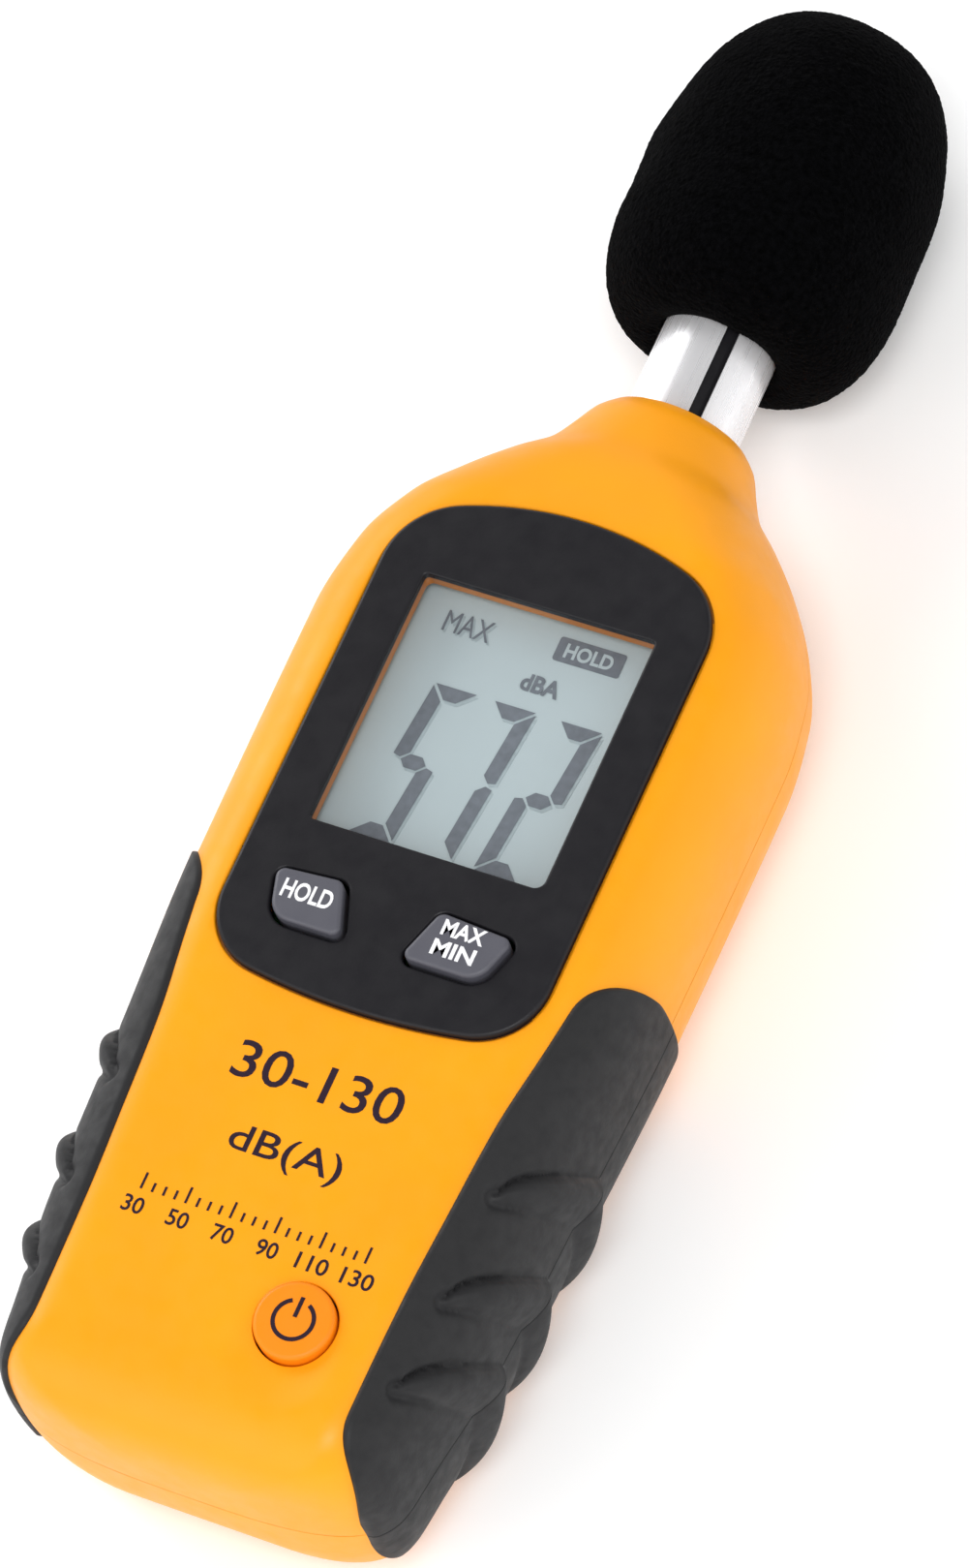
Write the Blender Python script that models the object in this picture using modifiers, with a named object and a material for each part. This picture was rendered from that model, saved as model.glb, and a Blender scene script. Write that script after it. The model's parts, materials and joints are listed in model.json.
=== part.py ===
"""Handheld sound level meter, lying on its back: +Z out of the display, +Y towards the microphone.

All driving dimensions are in millimetres; every helper turns them into metres once.
The origin is on the flat back, under the centre of the display window.
"""
import math

import bmesh
import bpy
import numpy as np
from mathutils import Matrix, Vector

MM = 0.001
GAP = 0.3                   # clearance between pieces that touch

# casing
AXIS_Z = 16.0               # height of the parting plane and of the microphone axis
FACE_Z = 31.1               # top of the display bezel
SKIN_Z = 30.5               # flat front of the casing
WALL = 2.2
NECK_Y = 44.0
END_Y = -82.0
BORE_R = 6.65               # neck bore around the microphone sleeve
SHARES = 7                  # facets from the parting line to the middle of a section

# y, half width, front height, rear depth, front flat half width, rear flat half width, shoulder power
STATIONS = (
    (NECK_Y, 8.2, 8.2, 8.2, 0.0, 0.0, 2.0),
    (42.8, 9.4, 9.2, 9.2, 0.0, 0.0, 2.0),
    (40.5, 10.6, 10.1, 10.0, 0.3, 0.2, 2.0),
    (37.5, 12.4, 11.0, 11.0, 1.2, 0.8, 2.0),
    (34.0, 16.0, 12.5, 12.9, 4.0, 2.5, 2.1),
    (30.0, 19.6, 13.6, 14.2, 7.5, 5.0, 2.2),
    (25.0, 23.0, 14.5, 15.4, 12.5, 8.5, 2.3),
    (19.0, 25.5, 14.5, 16.0, 16.5, 11.0, 2.3),
    (10.0, 26.6, 14.5, 16.0, 18.5, 12.0, 2.3),
    (-20.0, 26.3, 14.5, 16.0, 18.5, 12.0, 2.3),
    (-40.0, 25.3, 14.5, 16.0, 16.6, 12.0, 2.3),
    (-60.0, 24.2, 14.5, 16.0, 15.4, 12.0, 2.3),
    (-72.0, 22.4, 14.5, 16.0, 15.0, 12.0, 2.3),
    (END_Y - 0.1, 21.2, 14.5, 16.0, 15.0, 12.0, 2.3),
)
# where each rounding of the bottom end starts, and its two powers
PLAN_END = (-74.0, 3.2, 3.2)
CHIN_END = (-73.0, 2.0, 4.0)
HEEL_END = (-72.0, 2.6, 2.6)
# the loft's rows, then how far above the end its last rows lie
CASING_ROWS = (NECK_Y, 42.8, 41.0, 38.0, 35.0, 31.5, 28.0, 24.0, 19.0, 10.0, -5.0, -20.0, -36.0, -52.0, -66.0,
               -72.0)
END_ROWS = (6.5, 4.2, 2.4, 1.1, 0.3, 0.02)

# display
WINDOW_X, WINDOW_Y = 13.1, 14.75        # half sizes of the window
BEZEL_X = 18.4
BEZEL_TOP, BEZEL_BOTTOM = 25.4, -33.1
BEZEL_THICKNESS = 0.9
LCD_X, LCD_Y = 15.0, 17.0
LCD_TOP, LCD_THICKNESS = 26.7, 2.4
LCD_RIM = 1.4                           # width of the frame around the panel
PCB_BOTTOM, PCB_TOP = 20.0, 21.6

# buttons: outline corners with their radii, and the centre of the switch below
BUTTON_TOP = 32.0
BUTTON_TRAVEL = 0.6
BUTTON_LOW = 27.6
BUTTON_GAP = 0.4
FLANGE_LOW, FLANGE_HIGH, FLANGE_WIDTH = 26.9, 27.9, 1.0
HOLD_CORNERS = ((-13.65, -21.05, 0.8), (-12.1, -26.45, 2.2), (-4.1, -26.45, 0.6), (-6.3, -20.5, 0.9))
MAX_MIN_CORNERS = ((4.6, -20.5, 0.9), (2.5, -26.45, 0.6), (11.3, -26.45, 2.2), (13.15, -21.1, 0.8))
HOLD_AT = (-8.9, -23.5)
MAX_MIN_AT = (7.9, -23.6)
POWER_AT = (8.5, -65.8)
POWER_R = 4.2
POWER_TOP = SKIN_Z + 0.9
SCOOP_R, SCOOP_DEPTH, SCOOP_DROP = 26.0, 0.7, 3.6   # thumb scoop, and how far below the key it lies
SWITCH_TOP = 25.2
SWITCH_HALF = 3.0

# grips
GRIP_TOP, GRIP_BOTTOM = -18.7, -79.6
TOP_FALL, BOTTOM_FALL = (-26.0, 2.4), (-72.0, 2.7)  # where the reach starts to fall at each end, and a power
GRIP_EDGE_X = ((-18.0, 21.9), (-30.0, 20.3), (-40.0, 18.85), (-50.0, 18.15), (-60.0, 17.55), (-70.0, 17.3),
               (-81.0, 17.2))
REAR_REACH = 0.40
HALF_GIRTH = 34.0                       # about the length of a half section
GRIP_PROUD = 0.5
GRIP_DEPTH = 1.0
CUTTER_PROUD = 4.0                      # how far a recess cutter stands out of the skin
RIDGE_TIPS = (-46.5, -58.3, -68.3)
RIDGE_HEIGHT = 1.2
RIDGE_REACH = 0.38                      # share of the half section at a ridge's tip
RIDGE_TIP = 0.7                         # half width of the tip
RIDGE_UPPER, RIDGE_LOWER = (9.2, 0.6), (4.6, 0.9)   # climb of each edge to the parting line, and a power

# microphone
SLEEVE_R = 6.35
SLEEVE_Y = (33.0, 86.0)
SLEEVE_WALL = 0.7
SLOT_WIDTH = 1.5
SLOT_Y = (37.0, 72.0)
SLOT_ANGLE = 27.0                       # degrees from the front towards +X
FOAM_BORE_END = 88.8
FOAM_PROFILE = (
    (6.65, 55.4), (8.6, 54.9), (11.4, 55.6), (13.7, 57.6), (15.2, 61.3), (15.85, 67.0),
    (15.85, 74.0), (15.2, 80.5), (13.7, 86.0), (11.0, 90.8), (7.2, 94.0), (3.4, 95.4), (0.0, 95.8),
)

# battery bay and door
BAY_X = 17.2
BAY_Y = (-71.3, -20.1)
BAY_TOP = 13.2
BAY_WALL = 1.3
CELL_R, CELL_LENGTH = 5.25, 44.5
CELL_Z = 7.8
CELL_PITCH = 11.0
CELL_UP_BASE, CELL_DOWN_BASE = -65.7, -25.7
DOOR_X, DOOR_TOP_Y, DOOR_Z = 17.5, -18.6, 3.0
GROOVES_Y, GROOVE_PITCH, GROOVE_WIDTH = -27.0, 1.8, 0.9
SPRING_R, SPRING_TURNS, SPRING_WIRE_R = 3.6, 3.0, 0.3
CONTACT_LOW, CONTACT_HIGH = 3.8, 12.6
TAB_SLOTS = ((11.0, -70.75), (-11.0, -20.65))
TAB_TOP = 15.6

# screws
UPPER_SCREWS = ((-13.0, 28.0), (13.0, 28.0))
LOWER_SCREWS = ((-12.0, -75.4), (12.0, -75.4))
PCB_SCREWS = ((-13.0, 21.3), (13.0, 21.3), (-13.0, -56.0), (13.0, -56.0))
SCREW_R, SCREW_HOLE_R = 1.0, 1.3
HEAD_R, HEAD_EDGE, HEAD_THICKNESS = 2.1, 0.9, 1.5
CASE_SCREW_TIP, PCB_SCREW_TIP = 24.0, 26.8
UPPER_SINK, LOWER_SINK, SINK_R = 5.6, 5.3, 2.5      # heights of the screw heads' seats
UPPER_POST_R, LOWER_POST_R = 3.2, 2.6
FRONT_POST_R, FRONT_POST_TOP = 2.8, 27.0
PCB_POST_R, PCB_POST_TOP = 2.3, 29.0

# colours: base colour, roughness, metallic
ORANGE = ("orange_shell", (1.0, 0.42, 0.01), 0.38, 0.0)
BLACK = ("black_plastic", (0.02, 0.02, 0.022), 0.42, 0.0)
KEY_GREY = ("key_grey", (0.11, 0.11, 0.125), 0.5, 0.0)
KEY_ORANGE = ("key_orange", (1.0, 0.33, 0.005), 0.4, 0.0)
RUBBER = ("grip_rubber", (0.03, 0.03, 0.033), 0.7, 0.0)
SILVER = ("silver_sleeve", (0.8, 0.8, 0.82), 0.25, 1.0)
FOAM = ("black_foam", (0.006, 0.006, 0.007), 1.0, 0.0)
CLEAR = ("clear_lens", (0.9, 0.92, 0.92), 0.05, 0.0)
LCD = ("lcd_glass", (0.48, 0.54, 0.54), 0.3, 0.0)
BOARD = ("circuit_board", (0.02, 0.16, 0.06), 0.45, 0.0)
STEEL = ("screw_steel", (0.6, 0.6, 0.62), 0.3, 1.0)
NICKEL = ("nickel_contact", (0.72, 0.7, 0.65), 0.28, 1.0)
CELL = ("cell_wrap", (0.12, 0.3, 0.22), 0.35, 0.0)
RED = ("red_insulation", (0.6, 0.02, 0.02), 0.45, 0.0)

for old in list(bpy.data.objects):
    bpy.data.objects.remove(old, do_unlink=True)

PARTS = bpy.data.collections.new("sound_level_meter")
CUTTERS = bpy.data.collections.new("cutters")
for collection in (PARTS, CUTTERS):
    bpy.context.scene.collection.children.link(collection)


# ---------------------------------------------------------------- helpers

def paint(obj, look):
    """Gives an object its Principled material, made once per look."""
    name, colour, roughness, metallic = look
    material = bpy.data.materials.get(name)
    if material is None:
        material = bpy.data.materials.new(name)
        material.use_nodes = True
        shader = material.node_tree.nodes["Principled BSDF"]
        shader.inputs["Base Color"].default_value = (*colour, 1.0)
        shader.inputs["Roughness"].default_value = roughness
        shader.inputs["Metallic"].default_value = metallic
    obj.data.materials.clear()
    obj.data.materials.append(material)


def place(name, mesh, look, is_cutter=False):
    """Links a mesh as a part, or as a wire-only cutter."""
    obj = bpy.data.objects.new(name, mesh)
    (CUTTERS if is_cutter else PARTS).objects.link(obj)
    if is_cutter:
        obj.hide_render = True
        obj.display_type = 'WIRE'
    else:
        paint(obj, look)
    return obj


def mesh_from(name, bm):
    """Turns a bmesh in millimetres into a mesh in metres."""
    bm.transform(Matrix.Scale(MM, 4))
    mesh = bpy.data.meshes.new(name)
    bm.to_mesh(mesh)
    bm.free()
    return mesh


def add_box(bm, low, high):
    size = Vector(high) - Vector(low)
    centre = (Vector(high) + Vector(low)) / 2
    matrix = Matrix.Translation(centre) @ Matrix.Diagonal((*size, 1.0))
    bmesh.ops.create_cube(bm, size=1.0, matrix=matrix)


def add_rod(bm, start, end, radius, segments=20):
    """A capped cylinder between two points."""
    start, end = Vector(start), Vector(end)
    along = end - start
    turn = Vector((0, 0, 1)).rotation_difference(along).to_matrix().to_4x4()
    matrix = Matrix.Translation((start + end) / 2) @ turn
    bmesh.ops.create_cone(bm, cap_ends=True, segments=segments, radius1=radius, radius2=radius,
                          depth=along.length, matrix=matrix)


def box(name, low, high, look=None, is_cutter=False):
    bm = bmesh.new()
    add_box(bm, low, high)
    return place(name, mesh_from(name, bm), look, is_cutter)


def rod(name, start, end, radius, look=None, segments=20, is_cutter=False):
    bm = bmesh.new()
    add_rod(bm, start, end, radius, segments)
    return place(name, mesh_from(name, bm), look, is_cutter)


def turned(name, profile, look, at, along='Z', flip=False, steps=24):
    """A Screw-modifier solid. profile is (radius, height) from the top down its outer side."""
    bm = bmesh.new()
    points = [bm.verts.new((radius, 0.0, height)) for radius, height in profile]
    pairs = list(zip(points, points[1:]))
    if profile[0][0] > 0.0 and profile[-1][0] > 0.0:
        pairs.append((points[-1], points[0]))
    for pair in pairs:
        bm.edges.new(pair)
    obj = place(name, mesh_from(name, bm), look)
    screw = obj.modifiers.new("turn", 'SCREW')
    screw.axis = 'Z'
    screw.angle = math.tau
    screw.steps = screw.render_steps = steps
    screw.use_merge_vertices = True
    screw.merge_threshold = 0.00001
    if along == 'Y':
        obj.rotation_euler = (math.radians(90.0 if flip else -90.0), 0.0, 0.0)
    obj.location = Vector(at) * MM
    return obj


def rounded(corners, steps=5):
    """A counter-clockwise outline whose corners (x, y, radius) are arcs."""
    points = []
    for k, (x, y, radius) in enumerate(corners):
        here = Vector((x, y))
        before = (Vector(corners[k - 1][:2]) - here).normalized()
        after = (Vector(corners[(k + 1) % len(corners)][:2]) - here).normalized()
        half = before.angle(after) / 2
        centre = here + (before + after).normalized() * (radius / math.sin(half))
        first = here + before * (radius / math.tan(half)) - centre
        last = here + after * (radius / math.tan(half)) - centre
        sweep = first.angle_signed(last)
        for step in range(steps + 1):
            turned_by = Matrix.Rotation(-sweep * step / steps, 2)
            points.append(centre + turned_by @ first)
    return [(p.x, p.y) for p in points]


def grown(corners, distance):
    """The corners of an outline moved outwards by a distance."""
    moved = []
    for k, (x, y, radius) in enumerate(corners):
        here = Vector((x, y))
        before = (Vector(corners[k - 1][:2]) - here).normalized()
        after = (Vector(corners[(k + 1) % len(corners)][:2]) - here).normalized()
        half = before.angle(after) / 2
        here -= (before + after).normalized() * (distance / math.sin(half))
        moved.append((here.x, here.y, radius + distance))
    return moved


def bezel_outline(inset=0.0, steps=7):
    """Arched top and bottom joined to straight sides by round corners."""
    side = BEZEL_X - inset
    points = []
    for end, arch, corner, sign in ((BEZEL_TOP, 38.0, 8.5, 1), (BEZEL_BOTTOM, 75.0, 7.5, -1)):
        arch, corner = arch - inset, corner - inset
        arch_y = end - sign * (arch + inset)
        centre_x = side - corner
        centre_y = arch_y + sign * math.sqrt((arch - corner) ** 2 - centre_x ** 2)
        lean = math.atan2(centre_x, abs(centre_y - arch_y))
        right = [(centre_x + corner * math.cos(a), centre_y + sign * corner * math.sin(a))
                 for a in np.linspace(0.0, math.pi / 2 - lean, steps)]
        crown = [(arch * math.sin(a), arch_y + sign * arch * math.cos(a))
                 for a in np.linspace(lean, -lean, 2 * steps)[1:-1]]
        left = [(-x, y) for x, y in reversed(right)]
        points.append(right + crown + left)
    top, bottom = points
    return top + list(reversed(bottom))


def plate(name, outline, z_low, z_high, look=None, is_cutter=False, upright=False):
    """A flat outline extruded between two heights, or along Y when upright."""
    curve = bpy.data.curves.new(name, 'CURVE')
    curve.dimensions = '2D'
    curve.fill_mode = 'BOTH'
    curve.extrude = (z_high - z_low) / 2 * MM
    spline = curve.splines.new('POLY')
    spline.points.add(len(outline) - 1)
    spline.use_cyclic_u = True
    for point, (x, y) in zip(spline.points, outline):
        point.co = (x * MM, y * MM, 0.0, 1.0)
    middle = (z_high + z_low) / 2 * MM
    if upright:
        matrix = Matrix.Translation((0.0, middle, 0.0)) @ Matrix.Rotation(math.pi / 2, 4, 'X')
    else:
        matrix = Matrix.Translation((0.0, 0.0, middle))
    return solid_from_curve(name, curve, matrix, look, is_cutter)


def solid_from_curve(name, curve, matrix, look, is_cutter=False):
    """Converts a curve to a welded mesh object."""
    source = bpy.data.objects.new(name + "_curve", curve)
    CUTTERS.objects.link(source)
    bpy.context.view_layer.update()
    depsgraph = bpy.context.evaluated_depsgraph_get()
    mesh = bpy.data.meshes.new_from_object(source.evaluated_get(depsgraph))
    bpy.data.objects.remove(source, do_unlink=True)
    bm = bmesh.new()
    bm.from_mesh(mesh)
    bmesh.ops.remove_doubles(bm, verts=bm.verts, dist=0.000001)
    bmesh.ops.recalc_face_normals(bm, faces=bm.faces)
    bm.to_mesh(mesh)
    bm.free()
    obj = place(name, mesh, look, is_cutter)
    obj.matrix_world = matrix
    return obj


def wire(name, points, radius, look):
    """A round wire along a smooth run of points."""
    curve = bpy.data.curves.new(name, 'CURVE')
    curve.dimensions = '3D'
    curve.bevel_depth = radius * MM
    curve.bevel_resolution = 2
    curve.use_fill_caps = True
    spline = curve.splines.new('POLY')
    spline.points.add(len(points) - 1)
    for point, co in zip(spline.points, points):
        point.co = (*(Vector(co) * MM), 1.0)
    return solid_from_curve(name, curve, Matrix.Identity(4), look)


def smooth_run(points, count):
    """Points on a Catmull-Rom curve through the route's own points."""
    route = [Vector(p) for p in points]
    route = [2 * route[0] - route[1]] + route + [2 * route[-1] - route[-2]]
    run = []
    for t in np.linspace(0.0, len(points) - 1.0001, count):
        k, s = int(t), t - int(t)
        a, b, c, d = route[k:k + 4]
        run.append(0.5 * ((2 * b) + (c - a) * s + (2 * a - 5 * b + 4 * c - d) * s * s
                          + (3 * b - a - 3 * c + d) * s ** 3))
    return run


def boolean(obj, other, operation='DIFFERENCE', solver='MANIFOLD'):
    modifier = obj.modifiers.new(operation.lower(), 'BOOLEAN')
    modifier.operation = operation
    modifier.solver = solver
    modifier.object = other


def bevel(obj, width, segments=2, angle=40.0):
    modifier = obj.modifiers.new("round_edges", 'BEVEL')
    modifier.width = width * MM
    modifier.segments = segments
    modifier.limit_method = 'ANGLE'
    modifier.angle_limit = math.radians(angle)


# ---------------------------------------------------------------- casing surface

def through(x, xs, ys):
    """A smooth curve through the stations that doesn't overshoot them."""
    widths, rises = np.diff(xs), np.diff(ys)
    slopes = rises / widths
    tangents = np.zeros(len(xs))
    tangents[0], tangents[-1] = slopes[0], slopes[-1]
    for k in range(1, len(xs) - 1):
        a, b = slopes[k - 1], slopes[k]
        if a * b > 0:
            wa, wb = 2 * widths[k] + widths[k - 1], widths[k] + 2 * widths[k - 1]
            tangents[k] = (wa + wb) / (wa / a + wb / b)
    k = int(np.clip(np.searchsorted(xs, x) - 1, 0, len(widths) - 1))
    t = (x - xs[k]) / widths[k]
    return ((1 + 2 * t) * (1 - t) ** 2 * ys[k] + t * (1 - t) ** 2 * widths[k] * tangents[k]
            + t * t * (3 - 2 * t) * ys[k + 1] + t * t * (t - 1) * widths[k] * tangents[k + 1])


STATION_TABLE = np.array(sorted(STATIONS))


def end_fall(y, rule, inset=0.0):
    """How much of its full size the casing keeps near the bottom end."""
    start, rise_power, fall_power = rule
    t = min(max((start - y) / (start - END_Y - inset), 0.0), 1.0)
    return (1 - t ** rise_power) ** (1 / fall_power)


def half_section(y, front, inset=0.0):
    """Points from the parting line at +X to the middle of the front or the back."""
    half, high, deep, front_flat, rear_flat, power = (
        through(y, STATION_TABLE[:, 0], STATION_TABLE[:, k]) for k in range(1, 7))
    plan = end_fall(y, PLAN_END, inset)
    height = (high if front else deep) - inset
    height *= end_fall(y, CHIN_END if front else HEEL_END, inset)
    flat = (front_flat if front else rear_flat) * plan
    turn = np.linspace(0.0, math.pi / 2, 50)
    x = flat + ((half - inset) * plan - flat) * np.cos(turn) ** (2 / power)
    rise = height * np.sin(turn) ** (2 / power)
    x, rise = np.append(x, 0.0), np.append(rise, rise[-1])
    return x, AXIS_Z + (rise if front else -rise)


def skin_point(y, u, front, inset=0.0):
    """A point of the casing's outer skin: u is 0 at the parting line and 1 in the middle."""
    x, z = half_section(y, front, inset)
    run = np.concatenate([[0.0], np.cumsum(np.hypot(np.diff(x), np.diff(z)))])
    return Vector((np.interp(u * run[-1], run, x), y, np.interp(u * run[-1], run, z)))


def skin_normal(y, u, front):
    step = 0.01
    across = skin_point(y, min(u + step, 1.0), front) - skin_point(y, max(u - step, 0.0), front)
    along = skin_point(y + 0.2, u, front) - skin_point(y - 0.2, u, front)
    normal = along.cross(across).normalized()
    return normal if normal.x > 0 or (normal.z > 0) == front else -normal


def casing_solid(name, inset, look=None, is_cutter=False):
    """A closed loft through the casing's sections, full size or inset by the wall."""
    last = END_Y + inset
    rows = list(CASING_ROWS[2:] if inset else CASING_ROWS) + [last + drop for drop in END_ROWS]
    shares = np.linspace(0.0, 1.0, SHARES + 1)
    bm = bmesh.new()
    rings = []
    for y in rows:
        front = [skin_point(y, u, True, inset) for u in shares]
        rear = [skin_point(y, u, False, inset) for u in shares]
        ring = front + [Vector((-p.x, p.y, p.z)) for p in reversed(front[:-1])]
        ring += [Vector((-p.x, p.y, p.z)) for p in rear[1:-1]] + list(reversed(rear[1:]))
        rings.append([bm.verts.new(p) for p in ring])
    for a, b in zip(rings, rings[1:]):
        for k in range(len(a)):
            n = (k + 1) % len(a)
            bm.faces.new((a[k], a[n], b[n], b[k]))
    bm.faces.new(rings[0])
    bm.faces.new(rings[-1])
    bmesh.ops.recalc_face_normals(bm, faces=bm.faces)
    return place(name, mesh_from(name, bm), look, is_cutter)


def skin(name, look):
    """The hollow casing, both halves."""
    obj = casing_solid(name, 0.0, look)
    boolean(obj, casing_solid(f"{name}_inside", WALL, is_cutter=True))
    return obj


# ---------------------------------------------------------------- grips

def grip_reach(y, front):
    """How far a grip wraps from the parting line towards the middle, as a share of the half section."""
    if front:
        edge_x = through(y, *np.array(sorted(GRIP_EDGE_X)).T)
        x, z = half_section(y, True)
        run = np.concatenate([[0.0], np.cumsum(np.hypot(np.diff(x), np.diff(z)))])
        reach = np.interp(-min(edge_x, x[0] - 0.1), -x, run) / run[-1]
    else:
        reach = REAR_REACH
    for end, (start, power) in ((GRIP_TOP, TOP_FALL), (GRIP_BOTTOM, BOTTOM_FALL)):
        t = min(max((y - start) / (end - start), 0.0), 1.0)
        reach *= (1 - t ** power) ** (1 / power)
    return reach


def ridge_height(y, u):
    """Three horn-shaped finger ridges that widen from a tip to the parting line, steepest on top."""
    share = min(u / RIDGE_REACH, 1.0)
    climb, power = RIDGE_UPPER
    low_climb, low_power = RIDGE_LOWER
    for tip in RIDGE_TIPS:
        low = tip - RIDGE_TIP + low_climb * (1 - share) ** low_power
        high = tip + RIDGE_TIP + climb * (1 - share) ** power
        t = (y - low) / (high - low)
        if 0.0 < t < 1.0:
            return RIDGE_HEIGHT * 1.25 * (1 - (1 - t) ** 2) * (1 - t ** 6) * (1 - share ** 6)
    return 0.0


def grip(name, side, front, look=None, is_cutter=False, margin=0.0):
    """A rubber panel wrapped over one quarter of the casing. margin grows it, for its recess."""
    rows, columns = (22, 5) if margin else (40, 7)
    span = np.linspace(0.0, math.pi, rows)
    ys = GRIP_BOTTOM + (GRIP_TOP - GRIP_BOTTOM) * (1 - np.cos(span)) / 2
    start = -0.01 if margin else 0.006
    bm = bmesh.new()
    outer, inner = [], []
    for y in ys:
        reach = max(grip_reach(y, front), 0.03) + margin / HALF_GIRTH
        y_grown = y + margin * (2 * (y - GRIP_BOTTOM) / (GRIP_TOP - GRIP_BOTTOM) - 1)
        over, under = [], []
        for k in range(columns + 1):
            u = start + (reach - start) * k / columns
            point = skin_point(y_grown, max(u, 0.0), front)
            normal = skin_normal(y_grown, max(u, 0.0), front)
            if u < 0.0:
                point.z += 0.4 * (-1 if front else 1)
            edge = min(k / columns, 1 - k / columns) * 2
            proud = CUTTER_PROUD if margin else GRIP_PROUD * (0.3 + 0.7 * edge) + ridge_height(y, u)
            over.append(point + normal * proud)
            under.append(point - normal * (GRIP_DEPTH + margin))
        for ring, store in ((over, outer), (under, inner)):
            store.append([bm.verts.new((side * p.x, p.y, p.z)) for p in ring])
    for grid in (outer, inner):
        for a, b in zip(grid, grid[1:]):
            for k in range(columns):
                bm.faces.new((a[k], a[k + 1], b[k + 1], b[k]))
    for a, b in ((outer[0], inner[0]), (outer[-1], inner[-1])):
        for k in range(columns):
            bm.faces.new((a[k], a[k + 1], b[k + 1], b[k]))
    for column in (0, columns):
        for r in range(rows - 1):
            bm.faces.new((outer[r][column], outer[r + 1][column],
                          inner[r + 1][column], inner[r][column]))
    bmesh.ops.recalc_face_normals(bm, faces=bm.faces)
    return place(name, mesh_from(name, bm), look, is_cutter)


def make_grips():
    cutters = {True: [], False: []}
    for side, side_name in ((-1, "left"), (1, "right")):
        for front, half_name in ((True, "front"), (False, "rear")):
            grip(f"{side_name}_grip_{half_name}", side, front, RUBBER)
            cutters[front].append(
                grip(f"{side_name}_{half_name}_recess", side, front, is_cutter=True, margin=GAP))
    return cutters


# ---------------------------------------------------------------- casing

def boss_group(name, bosses):
    """Separate posts in one mesh, each (x, y, z_low, z_high, radius)."""
    bm = bmesh.new()
    for x, y, low, high, radius in bosses:
        add_rod(bm, (x, y, low), (x, y, high), radius, 12)
    return place(name, mesh_from(name, bm), None, is_cutter=True)


def make_front_shell(recesses):
    shell = skin("front_shell", ORANGE)
    half_space = box("front_trim", (-60, -120, -20), (60, 80, AXIS_Z + GAP / 2), is_cutter=True)
    bore = rod("neck_bore_front", (0, 20, AXIS_Z), (0, 60, AXIS_Z), BORE_R, segments=32, is_cutter=True)
    case_screws = UPPER_SCREWS + LOWER_SCREWS
    posts = boss_group("front_posts",
                       [(x, y, AXIS_Z + 2 * GAP, FRONT_POST_TOP, FRONT_POST_R) for x, y in case_screws]
                       + [(x, y, PCB_TOP + GAP, PCB_POST_TOP, PCB_POST_R) for x, y in PCB_SCREWS])
    drills = boss_group("front_drills",
                        [(x, y, 10.0, 25.0, SCREW_HOLE_R) for x, y in case_screws]
                        + [(x, y, 18.0, 27.3, SCREW_HOLE_R) for x, y in PCB_SCREWS])
    seat_floor = FACE_Z - BEZEL_THICKNESS - GAP
    seat = plate("bezel_seat", bezel_outline(-GAP), seat_floor, SKIN_Z + 5, is_cutter=True)
    window = box("window_cut", (-WINDOW_X, -WINDOW_Y, 20), (WINDOW_X, WINDOW_Y, 40), is_cutter=True)
    boolean(shell, half_space)
    boolean(shell, bore)
    boolean(shell, posts, 'UNION')
    boolean(shell, drills)
    boolean(shell, seat)
    boolean(shell, window)
    for name, corners in (("hold", HOLD_CORNERS), ("max_min", MAX_MIN_CORNERS)):
        hole = plate(f"{name}_hole", rounded(grown(corners, BUTTON_GAP)), 20, 40, is_cutter=True)
        boolean(shell, hole)
    x, y = POWER_AT
    power_hole = rod("power_hole", (x, y, 22), (x, y, 40), POWER_R + GAP, segments=24, is_cutter=True)
    boolean(shell, power_hole)
    scoop_bm = bmesh.new()
    matrix = Matrix.Translation((x, y - SCOOP_DROP, SKIN_Z + SCOOP_R - SCOOP_DEPTH))
    bmesh.ops.create_uvsphere(scoop_bm, u_segments=24, v_segments=24, radius=SCOOP_R, matrix=matrix)
    boolean(shell, place("thumb_scoop", mesh_from("thumb_scoop", scoop_bm), None, is_cutter=True))
    for recess in recesses:
        boolean(shell, recess)
    return shell


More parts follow.
